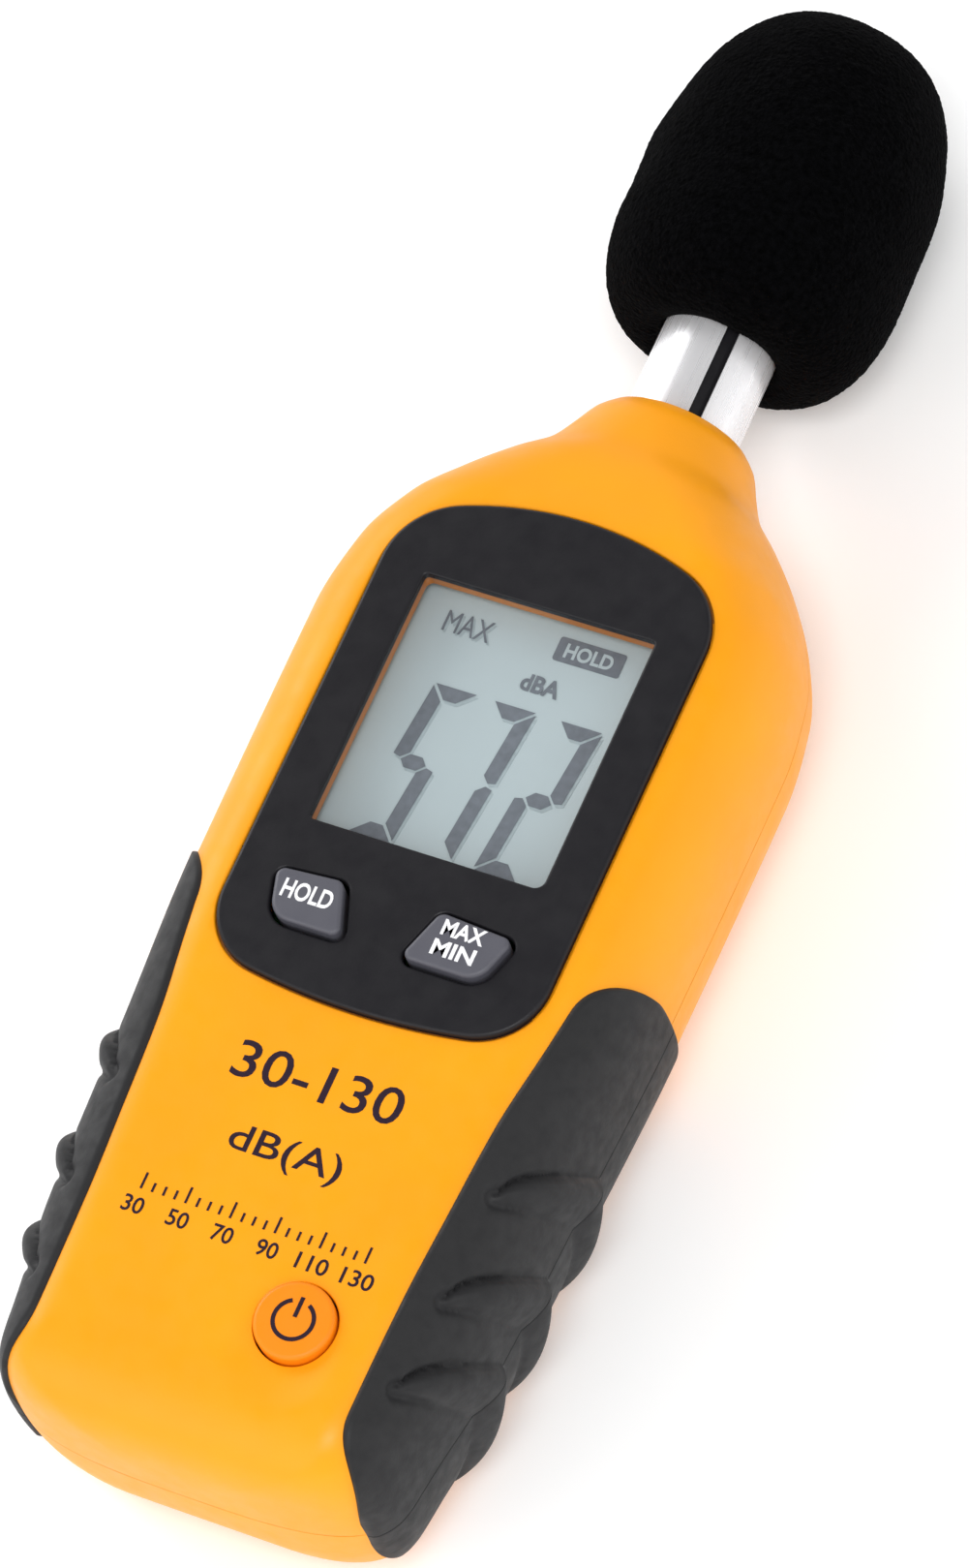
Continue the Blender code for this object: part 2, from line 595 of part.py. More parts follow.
def make_rear_shell(recesses):
    shell = skin("rear_shell", ORANGE)
    half_space = box("rear_trim", (-60, -120, AXIS_Z - GAP / 2), (60, 80, 60), is_cutter=True)
    bore = rod("neck_bore_rear", (0, 20, AXIS_Z), (0, 60, AXIS_Z), BORE_R, segments=32, is_cutter=True)
    low_y, high_y = BAY_Y
    bay = box("bay_block", (-BAY_X - 1.6, low_y - BAY_WALL, 3.45),
              (BAY_X + 1.6, high_y + BAY_WALL, BAY_TOP + BAY_WALL), is_cutter=True)
    ledge = box("screw_ledge", (-14.9, -78.0, 3.5), (14.9, low_y - BAY_WALL + 0.5, 6.6), is_cutter=True)
    posts = boss_group("rear_posts",
                       [(x, y, 4.3, AXIS_Z - 2 * GAP, UPPER_POST_R) for x, y in UPPER_SCREWS]
                       + [(x, y, 6.0, AXIS_Z - 2 * GAP, LOWER_POST_R) for x, y in LOWER_SCREWS])
    drills = boss_group("rear_drills",
                        [(x, y, -2.0, 20.0, SCREW_HOLE_R) for x, y in UPPER_SCREWS + LOWER_SCREWS])
    sinks = boss_group("rear_sinks",
                       [(x, y, -2.0, UPPER_SINK, SINK_R) for x, y in UPPER_SCREWS]
                       + [(x, y, -2.0, LOWER_SINK, SINK_R) for x, y in LOWER_SCREWS])
    hollow = box("bay_hollow", (-BAY_X, low_y, -2), (BAY_X, high_y, BAY_TOP), is_cutter=True)
    doorway = box("doorway", (-DOOR_X - GAP, -95, -2), (DOOR_X + GAP, DOOR_TOP_Y + GAP, DOOR_Z + GAP),
                  is_cutter=True)
    slots_bm = bmesh.new()
    for x, y in TAB_SLOTS:
        add_box(slots_bm, (x - 1.3, y - 0.55, 12.0), (x + 1.3, y + 0.55, 16.0))
    slots = place("tab_slots", mesh_from("tab_slots", slots_bm), None, is_cutter=True)
    boolean(shell, half_space)
    boolean(shell, bore)
    for solid in (bay, ledge, posts):
        boolean(shell, solid, 'UNION')
    for cutter in (drills, sinks, hollow, doorway, slots, *recesses):
        boolean(shell, cutter)
    return shell


def make_battery_door():
    door = skin("battery_door", ORANGE)
    keep = box("door_keep", (-DOOR_X, -95, -2), (DOOR_X, DOOR_TOP_Y, DOOR_Z), is_cutter=True)
    boolean(door, keep, 'INTERSECT')
    grooves = bmesh.new()
    for k in range(5):
        y = GROOVES_Y - GROOVE_PITCH * k
        add_box(grooves, (-6.0, y - GROOVE_WIDTH / 2, -1.0), (6.0, y + GROOVE_WIDTH / 2, 0.5))
    boolean(door, place("thumb_grooves", mesh_from("thumb_grooves", grooves), None, is_cutter=True))


# ---------------------------------------------------------------- display and board

def make_display():
    bezel = plate("display_bezel", bezel_outline(), FACE_Z - BEZEL_THICKNESS, FACE_Z, BLACK)
    bevel(bezel, 0.3)
    window = box("bezel_window", (-WINDOW_X, -WINDOW_Y, 20), (WINDOW_X, WINDOW_Y, 40), is_cutter=True)
    boolean(bezel, window)
    for name, corners in (("hold", HOLD_CORNERS), ("max_min", MAX_MIN_CORNERS)):
        hole = plate(f"bezel_{name}_hole", rounded(grown(corners, BUTTON_GAP)), 20, 40, is_cutter=True)
        boolean(bezel, hole)
    inner_z = SKIN_Z - WALL
    lens_x, lens_y = LCD_X + 0.5, LCD_Y + 0.5
    box("display_lens", (-lens_x, -lens_y, LCD_TOP + GAP), (lens_x, lens_y, inner_z - GAP), CLEAR)
    lcd_low = LCD_TOP - LCD_THICKNESS
    frame_x, frame_y = LCD_X + LCD_RIM, LCD_Y + LCD_RIM
    box("lcd_panel", (-LCD_X, -LCD_Y, lcd_low), (LCD_X, LCD_Y, LCD_TOP), LCD)
    frame = box("lcd_frame", (-frame_x, -frame_y, PCB_TOP + GAP), (frame_x, frame_y, LCD_TOP), BLACK)
    inside = box("lcd_frame_inside", (-LCD_X - GAP, -LCD_Y - GAP, 10), (LCD_X + GAP, LCD_Y + GAP, 40),
                 is_cutter=True)
    boolean(frame, inside)
    for name, y in (("zebra_strip_upper", 15.2), ("zebra_strip_lower", -15.2)):
        box(name, (-13.0, y - 1.0, PCB_TOP + GAP), (13.0, y + 1.0, lcd_low - GAP), RUBBER)


def make_board():
    board = box("main_pcb", (-16.0, -71.0, PCB_BOTTOM), (16.0, 24.4, PCB_TOP), BOARD)
    boolean(board, boss_group("pcb_holes", [(x, y, 15, 25, SCREW_HOLE_R) for x, y in PCB_SCREWS]))
    under = PCB_BOTTOM - GAP
    box("controller_chip", (-5.0, -5.0, under - 1.5), (5.0, 5.0, under), BLACK)
    box("amplifier_chip", (-10.5, 10.0, under - 1.5), (-5.5, 14.0, under), BLACK)
    box("clock_crystal", (7.0, 4.0, under - 2.5), (10.0, 12.0, under), STEEL)
    box("level_trimmer", (-12.5, -9.0, under - 4.0), (-6.5, -3.0, under), KEY_GREY)
    rod("supply_capacitor", (10.0, -8.0, under - 6.0), (10.0, -8.0, under), 2.6, BLACK)
    box("mic_socket", (-3.0, 17.0, under - 3.2), (3.0, 22.2, under), KEY_GREY)


def screw(name, at, head_top, tip):
    """A self-tapping screw standing on its head."""
    low = head_top - HEAD_THICKNESS
    profile = ((0.0, tip), (SCREW_R, tip - 0.8), (SCREW_R, head_top), (HEAD_R, head_top),
               (HEAD_R, head_top - HEAD_EDGE), (HEAD_R - 0.7, low + 0.1), (0.0, low))
    turned(name, profile, STEEL, (*at, 0.0), steps=10)


def make_screws():
    for number, at in enumerate(UPPER_SCREWS + LOWER_SCREWS, 1):
        seat = UPPER_SINK if at in UPPER_SCREWS else LOWER_SINK
        screw(f"case_screw_{number}", at, seat - GAP, CASE_SCREW_TIP)
    for number, at in enumerate(PCB_SCREWS, 1):
        screw(f"pcb_screw_{number}", at, PCB_BOTTOM - GAP, PCB_SCREW_TIP)


# ---------------------------------------------------------------- buttons

def make_switch(name, at):
    """A tactile switch: a housing with a well, and the plunger that the key presses."""
    x, y = at
    housing = box(f"{name}_switch", (x - SWITCH_HALF, y - SWITCH_HALF, PCB_TOP + GAP),
                  (x + SWITCH_HALF, y + SWITCH_HALF, SWITCH_TOP), BLACK)
    well = rod(f"{name}_well", (x, y, 22.5), (x, y, 30.0), 1.9, segments=12, is_cutter=True)
    boolean(housing, well)
    top = SWITCH_TOP + BUTTON_TRAVEL
    rod(f"{name}_plunger", (x, y, top - 2.3), (x, y, top), 1.5, KEY_GREY, segments=12)


def finish_key(name, at, cap, flange):
    """Adds the retaining flange inside the casing and the stem over the switch's plunger."""
    x, y = at
    stem = rod(f"{name}_stem", (x, y, SWITCH_TOP + BUTTON_TRAVEL + GAP), (x, y, 27.5), 1.8, segments=12,
               is_cutter=True)
    boolean(cap, flange, 'UNION')
    boolean(cap, stem, 'UNION')
    make_switch(name, at)


def make_buttons():
    for name, corners, at in (("hold", HOLD_CORNERS, HOLD_AT), ("max_min", MAX_MIN_CORNERS, MAX_MIN_AT)):
        cap = plate(f"{name}_button", rounded(corners), BUTTON_LOW, BUTTON_TOP, KEY_GREY)
        bevel(cap, 0.35)
        flange = plate(f"{name}_flange", rounded(grown(corners, FLANGE_WIDTH)), FLANGE_LOW, FLANGE_HIGH,
                       is_cutter=True)
        finish_key(name, at, cap, flange)
    x, y = POWER_AT
    cap = rod("power_button", (x, y, BUTTON_LOW), (x, y, POWER_TOP), POWER_R, KEY_ORANGE, segments=24)
    bevel(cap, 0.4)
    flange = rod("power_flange", (x, y, FLANGE_LOW), (x, y, FLANGE_HIGH), POWER_R + FLANGE_WIDTH, segments=24,
                 is_cutter=True)
    finish_key("power", POWER_AT, cap, flange)


# ---------------------------------------------------------------- microphone

def make_microphone():
    low, high = SLEEVE_Y
    at = (0.0, 0.0, AXIS_Z)
    bore = SLEEVE_R - SLEEVE_WALL
    sleeve = turned("mic_sleeve", ((bore, high), (SLEEVE_R, high), (SLEEVE_R, low), (bore, low)), SILVER, at,
                    along='Y', steps=28)
    slot_bm = bmesh.new()
    add_box(slot_bm, (-SLOT_WIDTH / 2, SLOT_Y[0], 3.0), (SLOT_WIDTH / 2, SLOT_Y[1], 10.0))
    lean = Matrix.Rotation(math.radians(SLOT_ANGLE), 4, 'Y')
    slot_bm.transform(Matrix.Translation(at) @ lean)
    boolean(sleeve, place("sleeve_slot", mesh_from("sleeve_slot", slot_bm), None, is_cutter=True))
    turned("mic_insulator", ((4.4, 80.3), (5.35, 80.3), (5.35, 34.0), (4.4, 34.0)), BLACK, at,
           along='Y', steps=24)
    turned("mic_capsule", ((0.0, 85.6), (4.0, 85.6), (4.0, 85.1), (4.85, 85.1), (4.85, 80.6), (0.0, 80.6)),
           NICKEL, at, along='Y', steps=24)
    turned("mic_cap", ((4.2, 88.3), (5.9, 88.3), (SLEEVE_R, 87.8), (SLEEVE_R, high + GAP), (4.2, high + GAP)),
           SILVER, at, along='Y', steps=24)
    route = ((0, 80.2, AXIS_Z), (0, 60, AXIS_Z), (0, 36, AXIS_Z), (0, 30, 16.3), (0, 26, 17.4),
             (0, 22.6, 18.1))
    wire("mic_cable", smooth_run(route, 16), 0.9, BLACK)


def make_windscreen():
    """Foam ball with a blind bore that slips over the sleeve."""
    outside = [(r, y) for r, y in reversed(FOAM_PROFILE)]
    profile = outside + [(BORE_R, FOAM_BORE_END), (0.0, FOAM_BORE_END)]
    turned("windscreen", profile, FOAM, (0.0, 0.0, AXIS_Z), along='Y', steps=24)


# ---------------------------------------------------------------- batteries

def make_cell(number, x, nub_up):
    """A cell with its positive nub towards the microphone, or the other way round."""
    profile = ((0.0, CELL_LENGTH), (1.9, CELL_LENGTH), (1.9, CELL_LENGTH - 1.0), (4.9, CELL_LENGTH - 1.0),
               (CELL_R, CELL_LENGTH - 1.5), (CELL_R, 0.3), (4.9, 0.0), (0.0, 0.0))
    base = CELL_UP_BASE if nub_up else CELL_DOWN_BASE
    turned(f"battery_{number}", profile, CELL, (x, base, CELL_Z), along='Y', flip=not nub_up, steps=20)
    start, end = (-70.2, -66.0) if nub_up else (-21.2, -25.4)
    coil = []
    steps = int(8 * SPRING_TURNS)
    for k in range(steps + 1):
        share = k / steps
        radius = SPRING_R - 1.6 * share
        angle = math.tau * SPRING_TURNS * share
        y = start + (end - start) * (0.08 + 0.84 * share)
        coil.append((x + radius * math.cos(angle), y, CELL_Z + radius * math.sin(angle)))
    wire(f"battery_spring_{number}", coil, SPRING_WIRE_R, NICKEL)


def make_battery_bay():
    for number, (x, nub_up) in enumerate(((-CELL_PITCH, True), (0.0, False), (CELL_PITCH, True)), 1):
        make_cell(number, x, nub_up)
    low, high = CONTACT_LOW, CONTACT_HIGH
    pair = ((-16.4, low), (5.0, low), (5.0, high), (-16.4, high))
    single = ((6.2, low), (16.4, low), (16.4, high), (12.0, high), (12.0, TAB_TOP), (10.0, TAB_TOP),
              (10.0, high), (6.2, high))
    mirrored_pair = [(-x, z) for x, z in reversed(pair)]
    mirrored_single = [(-x, z) for x, z in reversed(single)]
    plate("contact_lower_pair", pair, -71.0, -70.5, NICKEL, upright=True)
    plate("contact_lower_single", single, -71.0, -70.5, NICKEL, upright=True)
    plate("contact_upper_pair", mirrored_pair, -20.9, -20.4, NICKEL, upright=True)
    plate("contact_upper_single", mirrored_single, -20.9, -20.4, NICKEL, upright=True)
    negative = ((11.0, -70.75, 15.9), (11.0, -70.4, 17.2), (11.0, -69.2, 18.6), (11.0, -68.6, 19.2))
    positive = ((-11.0, -20.65, 15.9), (-11.0, -20.2, 17.2), (-11.0, -18.6, 18.6), (-11.0, -18.0, 19.2))
    wire("battery_wire_negative", smooth_run(negative, 9), 0.55, BLACK)
    wire("battery_wire_positive", smooth_run(positive, 9), 0.55, RED)


# ---------------------------------------------------------------- the meter

def carry(name, at, children):
    """An empty on a joint's axis that carries the moving pieces."""
    carrier = bpy.data.objects.new(name, None)
    carrier.location = Vector(at) * MM
    PARTS.objects.link(carrier)
    for child in children:
        piece = bpy.data.objects[child]
        piece.parent = carrier
        piece.matrix_parent_inverse = Matrix.Translation(-Vector(at) * MM)


def make_joints():
    for name, (x, y) in (("hold", HOLD_AT), ("max_min", MAX_MIN_AT), ("power", POWER_AT)):
        carry(f"{name}_key", (x, y, SWITCH_TOP), (f"{name}_button", f"{name}_plunger"))
    carry("door_slide", (0.0, DOOR_TOP_Y, DOOR_Z), ("battery_door",))
    carry("windscreen_slide", (0.0, FOAM_BORE_END, AXIS_Z), ("windscreen",))


def shade():
    """Round pieces shade smooth, and edges over 35 degrees stay sharp."""
    for obj in PARTS.objects:
        if obj.type == 'MESH':
            obj.data.shade_smooth()
            obj.data.set_sharp_from_angle(angle=math.radians(35.0))


def main():
    recesses = make_grips()
    make_front_shell(recesses[True])
    make_rear_shell(recesses[False])
    make_battery_door()
    make_display()
    make_board()
    make_buttons()
    make_microphone()
    make_windscreen()
    make_battery_bay()
    make_screws()
    make_joints()
    shade()


main()
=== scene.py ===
"""Looks of a handheld sound level meter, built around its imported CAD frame.

The meter lies on its back: +Z comes out of the display and +Y runs to the microphone. The casing's
surface follows the same rules as the CAD model's, with many more points. Sizes are in millimetres
unless a comment says otherwise, and each mesh is turned into metres when it becomes an object.
"""
import json
import math

import bmesh
import bpy
import numpy as np
from mathutils import Matrix, Vector, noise


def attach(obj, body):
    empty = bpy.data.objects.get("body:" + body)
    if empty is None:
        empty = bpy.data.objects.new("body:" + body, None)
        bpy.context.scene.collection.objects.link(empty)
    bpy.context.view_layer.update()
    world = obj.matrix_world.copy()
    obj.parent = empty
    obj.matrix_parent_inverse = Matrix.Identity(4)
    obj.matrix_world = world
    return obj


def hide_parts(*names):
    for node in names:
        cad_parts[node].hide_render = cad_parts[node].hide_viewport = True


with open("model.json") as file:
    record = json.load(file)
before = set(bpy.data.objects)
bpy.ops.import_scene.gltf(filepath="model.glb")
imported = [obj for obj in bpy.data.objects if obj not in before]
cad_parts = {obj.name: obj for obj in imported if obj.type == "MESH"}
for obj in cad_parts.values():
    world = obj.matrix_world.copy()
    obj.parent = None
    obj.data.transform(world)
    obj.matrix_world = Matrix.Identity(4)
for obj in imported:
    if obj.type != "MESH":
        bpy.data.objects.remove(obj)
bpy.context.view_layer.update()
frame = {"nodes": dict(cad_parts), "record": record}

MM = 0.001
GAP = 0.3

# camera: where the photograph was taken from, in metres and degrees
CAMERA_AT = (0.27106, -0.27880, 0.71405)
CAMERA_TURN = (27.2342, 11.1808, 23.8521)
CAMERA_LENS = 177.9

# casing
AXIS_Z = 16.0
FACE_Z = 31.1
SKIN_Z = 30.5
WALL = 2.2
NECK_Y, END_Y = 44.0, -82.0
BORE_R = 6.65
BORE_Y = (20.0, 60.0)
INNER_COLUMNS = 16          # points across a quarter of the casing's inner skin
# y, half width, front height, rear depth, front flat half width, rear flat half width, shoulder power
STATIONS = (
    (NECK_Y, 8.2, 8.2, 8.2, 0.0, 0.0, 2.0),
    (42.8, 9.4, 9.2, 9.2, 0.0, 0.0, 2.0),
    (40.5, 10.6, 10.1, 10.0, 0.3, 0.2, 2.0),
    (37.5, 12.4, 11.0, 11.0, 1.2, 0.8, 2.0),
    (34.0, 16.0, 12.5, 12.9, 4.0, 2.5, 2.1),
    (30.0, 19.6, 13.6, 14.2, 7.5, 5.0, 2.2),
    (25.0, 23.0, 14.5, 15.4, 12.5, 8.5, 2.3),
    (19.0, 25.5, 14.5, 16.0, 16.5, 11.0, 2.3),
    (10.0, 26.6, 14.5, 16.0, 18.5, 12.0, 2.3),
    (-20.0, 26.3, 14.5, 16.0, 18.5, 12.0, 2.3),
    (-40.0, 25.3, 14.5, 16.0, 16.6, 12.0, 2.3),
    (-60.0, 24.2, 14.5, 16.0, 15.4, 12.0, 2.3),
    (-72.0, 22.4, 14.5, 16.0, 15.0, 12.0, 2.3),
    (END_Y - 0.1, 21.2, 14.5, 16.0, 15.0, 12.0, 2.3),
)
PLAN_END = (-74.0, 3.2, 3.2)
CHIN_END = (-73.0, 2.0, 4.0)
HEEL_END = (-72.0, 2.6, 2.6)

# display and keys
WINDOW_X, WINDOW_Y = 13.1, 14.75
BEZEL_X, BEZEL_TOP, BEZEL_BOTTOM, BEZEL_THICK = 18.4, 25.4, -33.1, 0.9
WINDOW_STEP, KEY_STEP = 0.3, 1.1        # how far the shell's openings stand back from the bezel's
# Faces of the shell's window wall above this height get a darker copper colour: painted shade for the wall's
# shadow in the recess.
PAINTED_SHADE_WALL_Z = 28.0                    # the shell's window wall lies above this
CUT_LOW, CUT_HIGH = 20.0, 40.0          # reach of the cutters that open the front
LCD_TOP = 26.7
HOLD_CORNERS = ((-13.65, -21.05, 0.95), (-12.1, -26.45, 2.6), (-4.1, -26.45, 0.85), (-6.3, -20.5, 1.1))
MAX_MIN_CORNERS = ((4.6, -20.5, 1.1), (2.5, -26.45, 0.85), (11.3, -26.45, 2.6), (13.15, -21.1, 0.95))
KEY_LOW, KEY_TOP = 26.9, 32.0
POWER_TOP = SKIN_Z + 0.9
POWER_X, POWER_Y, POWER_R = 8.5, -65.8, 4.2
DISH_AT, DISH_SIZE, DISH_DEPTH = (8.5, -69.4), (6.0, 6.6), 0.6
SEAM = 0.06                 # half the visible gap between the casing's halves

# grips
GRIP_TOP, GRIP_BOTTOM = -18.7, -79.6
TOP_FALL, BOTTOM_FALL = (-26.0, 2.4), (-72.0, 2.7)
GRIP_EDGE_X = ((-18.0, 21.9), (-30.0, 20.3), (-40.0, 18.85), (-50.0, 18.15), (-60.0, 17.55), (-70.0, 17.3),
               (-81.0, 17.2))
REAR_REACH = 0.40
HALF_GIRTH = 34.0
RIDGE_TIPS = (-46.5, -58.3, -68.3)
RIDGE_HEIGHT, RIDGE_REACH, RIDGE_TIP = 1.2, 0.38, 0.7
RIDGE_UPPER, RIDGE_LOWER = (9.2, 0.6), (4.6, 0.9)
RIDGE_PEAK = 1.25           # brings the ridge profile's peak to about 1
CREASE_DEPTH, CREASE_WIDTH = 0.5, 0.5
GRIP_SUNK, GRIP_RISE, GRIP_ROUND = 0.25, 0.8, 0.8   # the edge's drop, its climb and how wide it rounds
LIP_DROP, LIP_WIDTH = 0.08, 0.15        # the small round beside the parting line
GRIP_DEPTH = 1.0
RECESS_MARGIN, RECESS_PROUD = 0.25, 4.0
NARROWEST_REACH = 0.03

# microphone and foam
SLEEVE_R, SLEEVE_LOW, SLEEVE_HIGH = 6.35, 33.0, 86.0
SLEEVE_WALL, SLEEVE_CHAMFER = 0.7, 0.2
SLOT_ANGLE, SLOT_WIDTH, SLOT_Y = 27.0, 1.5, (37.0, 72.0)
CAP_R, CAP_LOW, CAP_HIGH = 4.2, 86.3, 88.3
FOAM_BORE_END = 88.8
FOAM_PROFILE = (
    (6.65, 55.4), (8.6, 54.9), (11.4, 55.6), (13.7, 57.6), (15.2, 61.3), (15.85, 67.0),
    (15.85, 74.0), (15.2, 80.5), (13.7, 86.0), (11.0, 90.8), (7.2, 94.0), (3.4, 95.4), (0.0, 95.8),
)

# battery bay, door and screws
BAY_X, BAY_LOW, BAY_HIGH, BAY_TOP, BAY_WALL = 17.2, -71.3, -20.1, 13.2, 1.3
BAY_SIDE, BAY_FLOOR = 1.6, 3.45
DOOR_X, DOOR_TOP_Y, DOOR_Z = 17.5, -18.6, 3.0
CELL_R, CELL_LENGTH, CELL_Z = 5.25, 44.5, 7.8
CELLS = ((-11.0, True), (0.0, False), (11.0, True))    # x, and whether the positive end is up
CELL_BASE_UP, CELL_BASE_DOWN = -65.7, -25.7
DOOR_GROOVES, GROOVE_PITCH, GROOVE_R, GROOVE_HALF = 5, 1.8, 0.75, 6.0
UPPER_SCREWS = ((-13.0, 28.0), (13.0, 28.0))
LOWER_SCREWS = ((-12.0, -75.4), (12.0, -75.4))
ALL_SCREWS = UPPER_SCREWS + LOWER_SCREWS
FRONT_POST_R, FRONT_POST_TOP, FRONT_HOLE_TOP = 2.8, 27.0, 25.0
UPPER_POST_R, LOWER_POST_R = 3.2, 2.6
SHANK_R, HEAD_R = 1.3, 2.5
UPPER_HEAD_TOP, LOWER_HEAD_TOP = 5.6, 5.3

# print
SCALE_X, SCALE_Y, TICKS, TICK_HALF = 12.5, -57.7, 21, 0.13


# ---------------------------------------------------------------- materials

class Look:
    """A Principled material with short calls for procedural detail. Sizes are in millimetres."""

    def __init__(self, name, colour, roughness, **sockets):
        self.material = bpy.data.materials.new(name)
        self.material.use_nodes = True
        self.nodes = self.material.node_tree.nodes
        self.links = self.material.node_tree.links
        self.shader = self.nodes["Principled BSDF"]
        self.shader.inputs["Base Color"].default_value = (*colour, 1.0)
        self.shader.inputs["Roughness"].default_value = roughness
        for socket, value in sockets.items():
            self.shader.inputs[socket.replace("_", " ")].default_value = value
        self.colour = colour
        self.place = self.add('ShaderNodeTexCoord').outputs["Object"]
        self.normal = None

    def soft_edges(self, radius):
        """Edges shade as if they had a small round, in millimetres."""
        node = self.add('ShaderNodeBevel', samples=6)
        node.inputs["Radius"].default_value = radius * MM
        self.normal = node.outputs["Normal"]
        return self

    def add(self, kind, **settings):
        node = self.nodes.new(kind)
        for name, value in settings.items():
            setattr(node, name, value)
        return node

    def scaled(self, stretch):
        """Object coordinates stretched along x, y and z."""
        mapping = self.add('ShaderNodeMapping')
        mapping.inputs["Scale"].default_value = stretch
        self.links.new(self.place, mapping.inputs["Vector"])
        return mapping.outputs["Vector"]

    def noise(self, size, detail=2.0, stretch=None):
        """Noise with features about this many millimetres across."""
        node = self.add('ShaderNodeTexNoise')
        node.inputs["Scale"].default_value = 1.0 / (size * MM)
        node.inputs["Detail"].default_value = detail
        self.links.new(self.scaled(stretch) if stretch else self.place, node.inputs["Vector"])
        return node.outputs["Fac"]

    def cells(self, size, feature='F1', stretch=None):
        node = self.add('ShaderNodeTexVoronoi', feature=feature)
        node.inputs["Scale"].default_value = 1.0 / (size * MM)
        self.links.new(self.scaled(stretch) if stretch else self.place, node.inputs["Vector"])
        return node.outputs["Distance"]

    def ramp(self, factor, *stops):
        """Maps a factor through (position, colour) stops; a number stands for a grey."""
        node = self.add('ShaderNodeValToRGB')
        elements = node.color_ramp.elements
        while len(elements) < len(stops):
            elements.new(0.5)
        for element, (position, colour) in zip(elements, stops):
            element.position = position
            element.color = (colour, colour, colour, 1.0) if isinstance(colour, float) else (*colour, 1.0)
        self.links.new(factor, node.inputs["Fac"])
        return node.outputs["Color"]

    def tint(self, factor, low, high):
        """Base colour swings between two shades of itself as a factor goes from 0.3 to 0.7."""
        dark = tuple(c * low for c in self.colour)
        light = tuple(min(c * high, 1.0) for c in self.colour)
        self.links.new(self.ramp(factor, (0.3, dark), (0.7, light)), self.shader.inputs["Base Color"])
        return self

    def rough(self, factor, low, high):
        """Roughness swings between two values as a factor goes from 0.3 to 0.7."""
        self.links.new(self.ramp(factor, (0.3, low), (0.7, high)), self.shader.inputs["Roughness"])
        return self

    def bump(self, height, depth, strength=1.0):
        """Adds relief of a depth in millimetres, on top of any relief already there."""
        node = self.add('ShaderNodeBump')
        node.inputs["Distance"].default_value = depth * MM
        node.inputs["Strength"].default_value = strength
        self.links.new(height, node.inputs["Height"])
        if self.normal:
            self.links.new(self.normal, node.inputs["Normal"])
        self.normal = node.outputs["Normal"]
        self.links.new(self.normal, self.shader.inputs["Normal"])
        return self


def moulded(name, colour, roughness, grain=0.35, depth=0.012, **sockets):
    """Moulded plastic: soft edges, fine spark-eroded grain, faint mottling and uneven gloss."""
    look = Look(name, colour, roughness, **sockets).soft_edges(0.18)
    look.tint(look.noise(14.0, 3.0), 0.96, 1.03)
    look.rough(look.noise(2.5, 4.0), roughness - 0.05, roughness + 0.06)
    look.bump(look.noise(grain, 3.0), depth)
    return look.material


def rubber():
    look = Look("soft_grip_rubber", (0.0088, 0.0088, 0.0100), 0.60, Specular_IOR_Level=0.4)
    look.tint(look.noise(9.0, 4.0), 0.88, 1.14)
    look.rough(look.noise(1.6, 4.0), 0.52, 0.68)
    look.bump(look.noise(0.28, 3.0), 0.014)
    return look.material


def foam_look():
    look = Look("open_cell_foam", (0.0010, 0.0010, 0.0012), 1.0, Sheen_Weight=0.006, Sheen_Roughness=0.5,
                Specular_IOR_Level=0.02)
    look.tint(look.noise(0.7, 5.0), 0.4, 2.2)
    look.bump(look.cells(0.5), 0.2).bump(look.noise(0.25, 4.0), 0.15)
    return look.material


def brushed(name, colour, roughness, stretch, line=0.12, metallic=1.0):
    """Metal turned or drawn in one direction: stretch is small along the lines."""
    look = Look(name, colour, roughness, Metallic=metallic)
    lines = look.noise(line, 2.0, stretch)
    look.tint(look.noise(6.0, 3.0), 0.95, 1.03)
    look.rough(lines, roughness - 0.05, roughness + 0.08)
    look.bump(lines, 0.004)
    return look.material


def board_look():
    """Green solder mask over copper tracks, which show as a lighter raised pattern."""
    look = Look("solder_mask_board", (0.012, 0.13, 0.045), 0.35, Coat_Weight=0.4)
    tracks = look.cells(2.6, 'DISTANCE_TO_EDGE', (1.0, 0.45, 1.0))
    copper = look.ramp(tracks, (0.10, (0.03, 0.24, 0.09)), (0.14, (0.010, 0.11, 0.035)))
    look.links.new(copper, look.shader.inputs["Base Color"])
    look.bump(look.ramp(tracks, (0.10, 1.0), (0.14, 0.0)), 0.035).bump(look.noise(0.3), 0.006)
    return look.material


def lcd_look():
    """Reflective LCD glass: pale blue-grey with a faint mottled reflector."""
    look = Look("reflective_lcd", (0.47, 0.545, 0.57), 0.36, Specular_IOR_Level=0.3)
    look.tint(look.noise(18.0, 2.0), 0.97, 1.03)
    look.bump(look.noise(0.2, 2.0), 0.003)
    return look.material


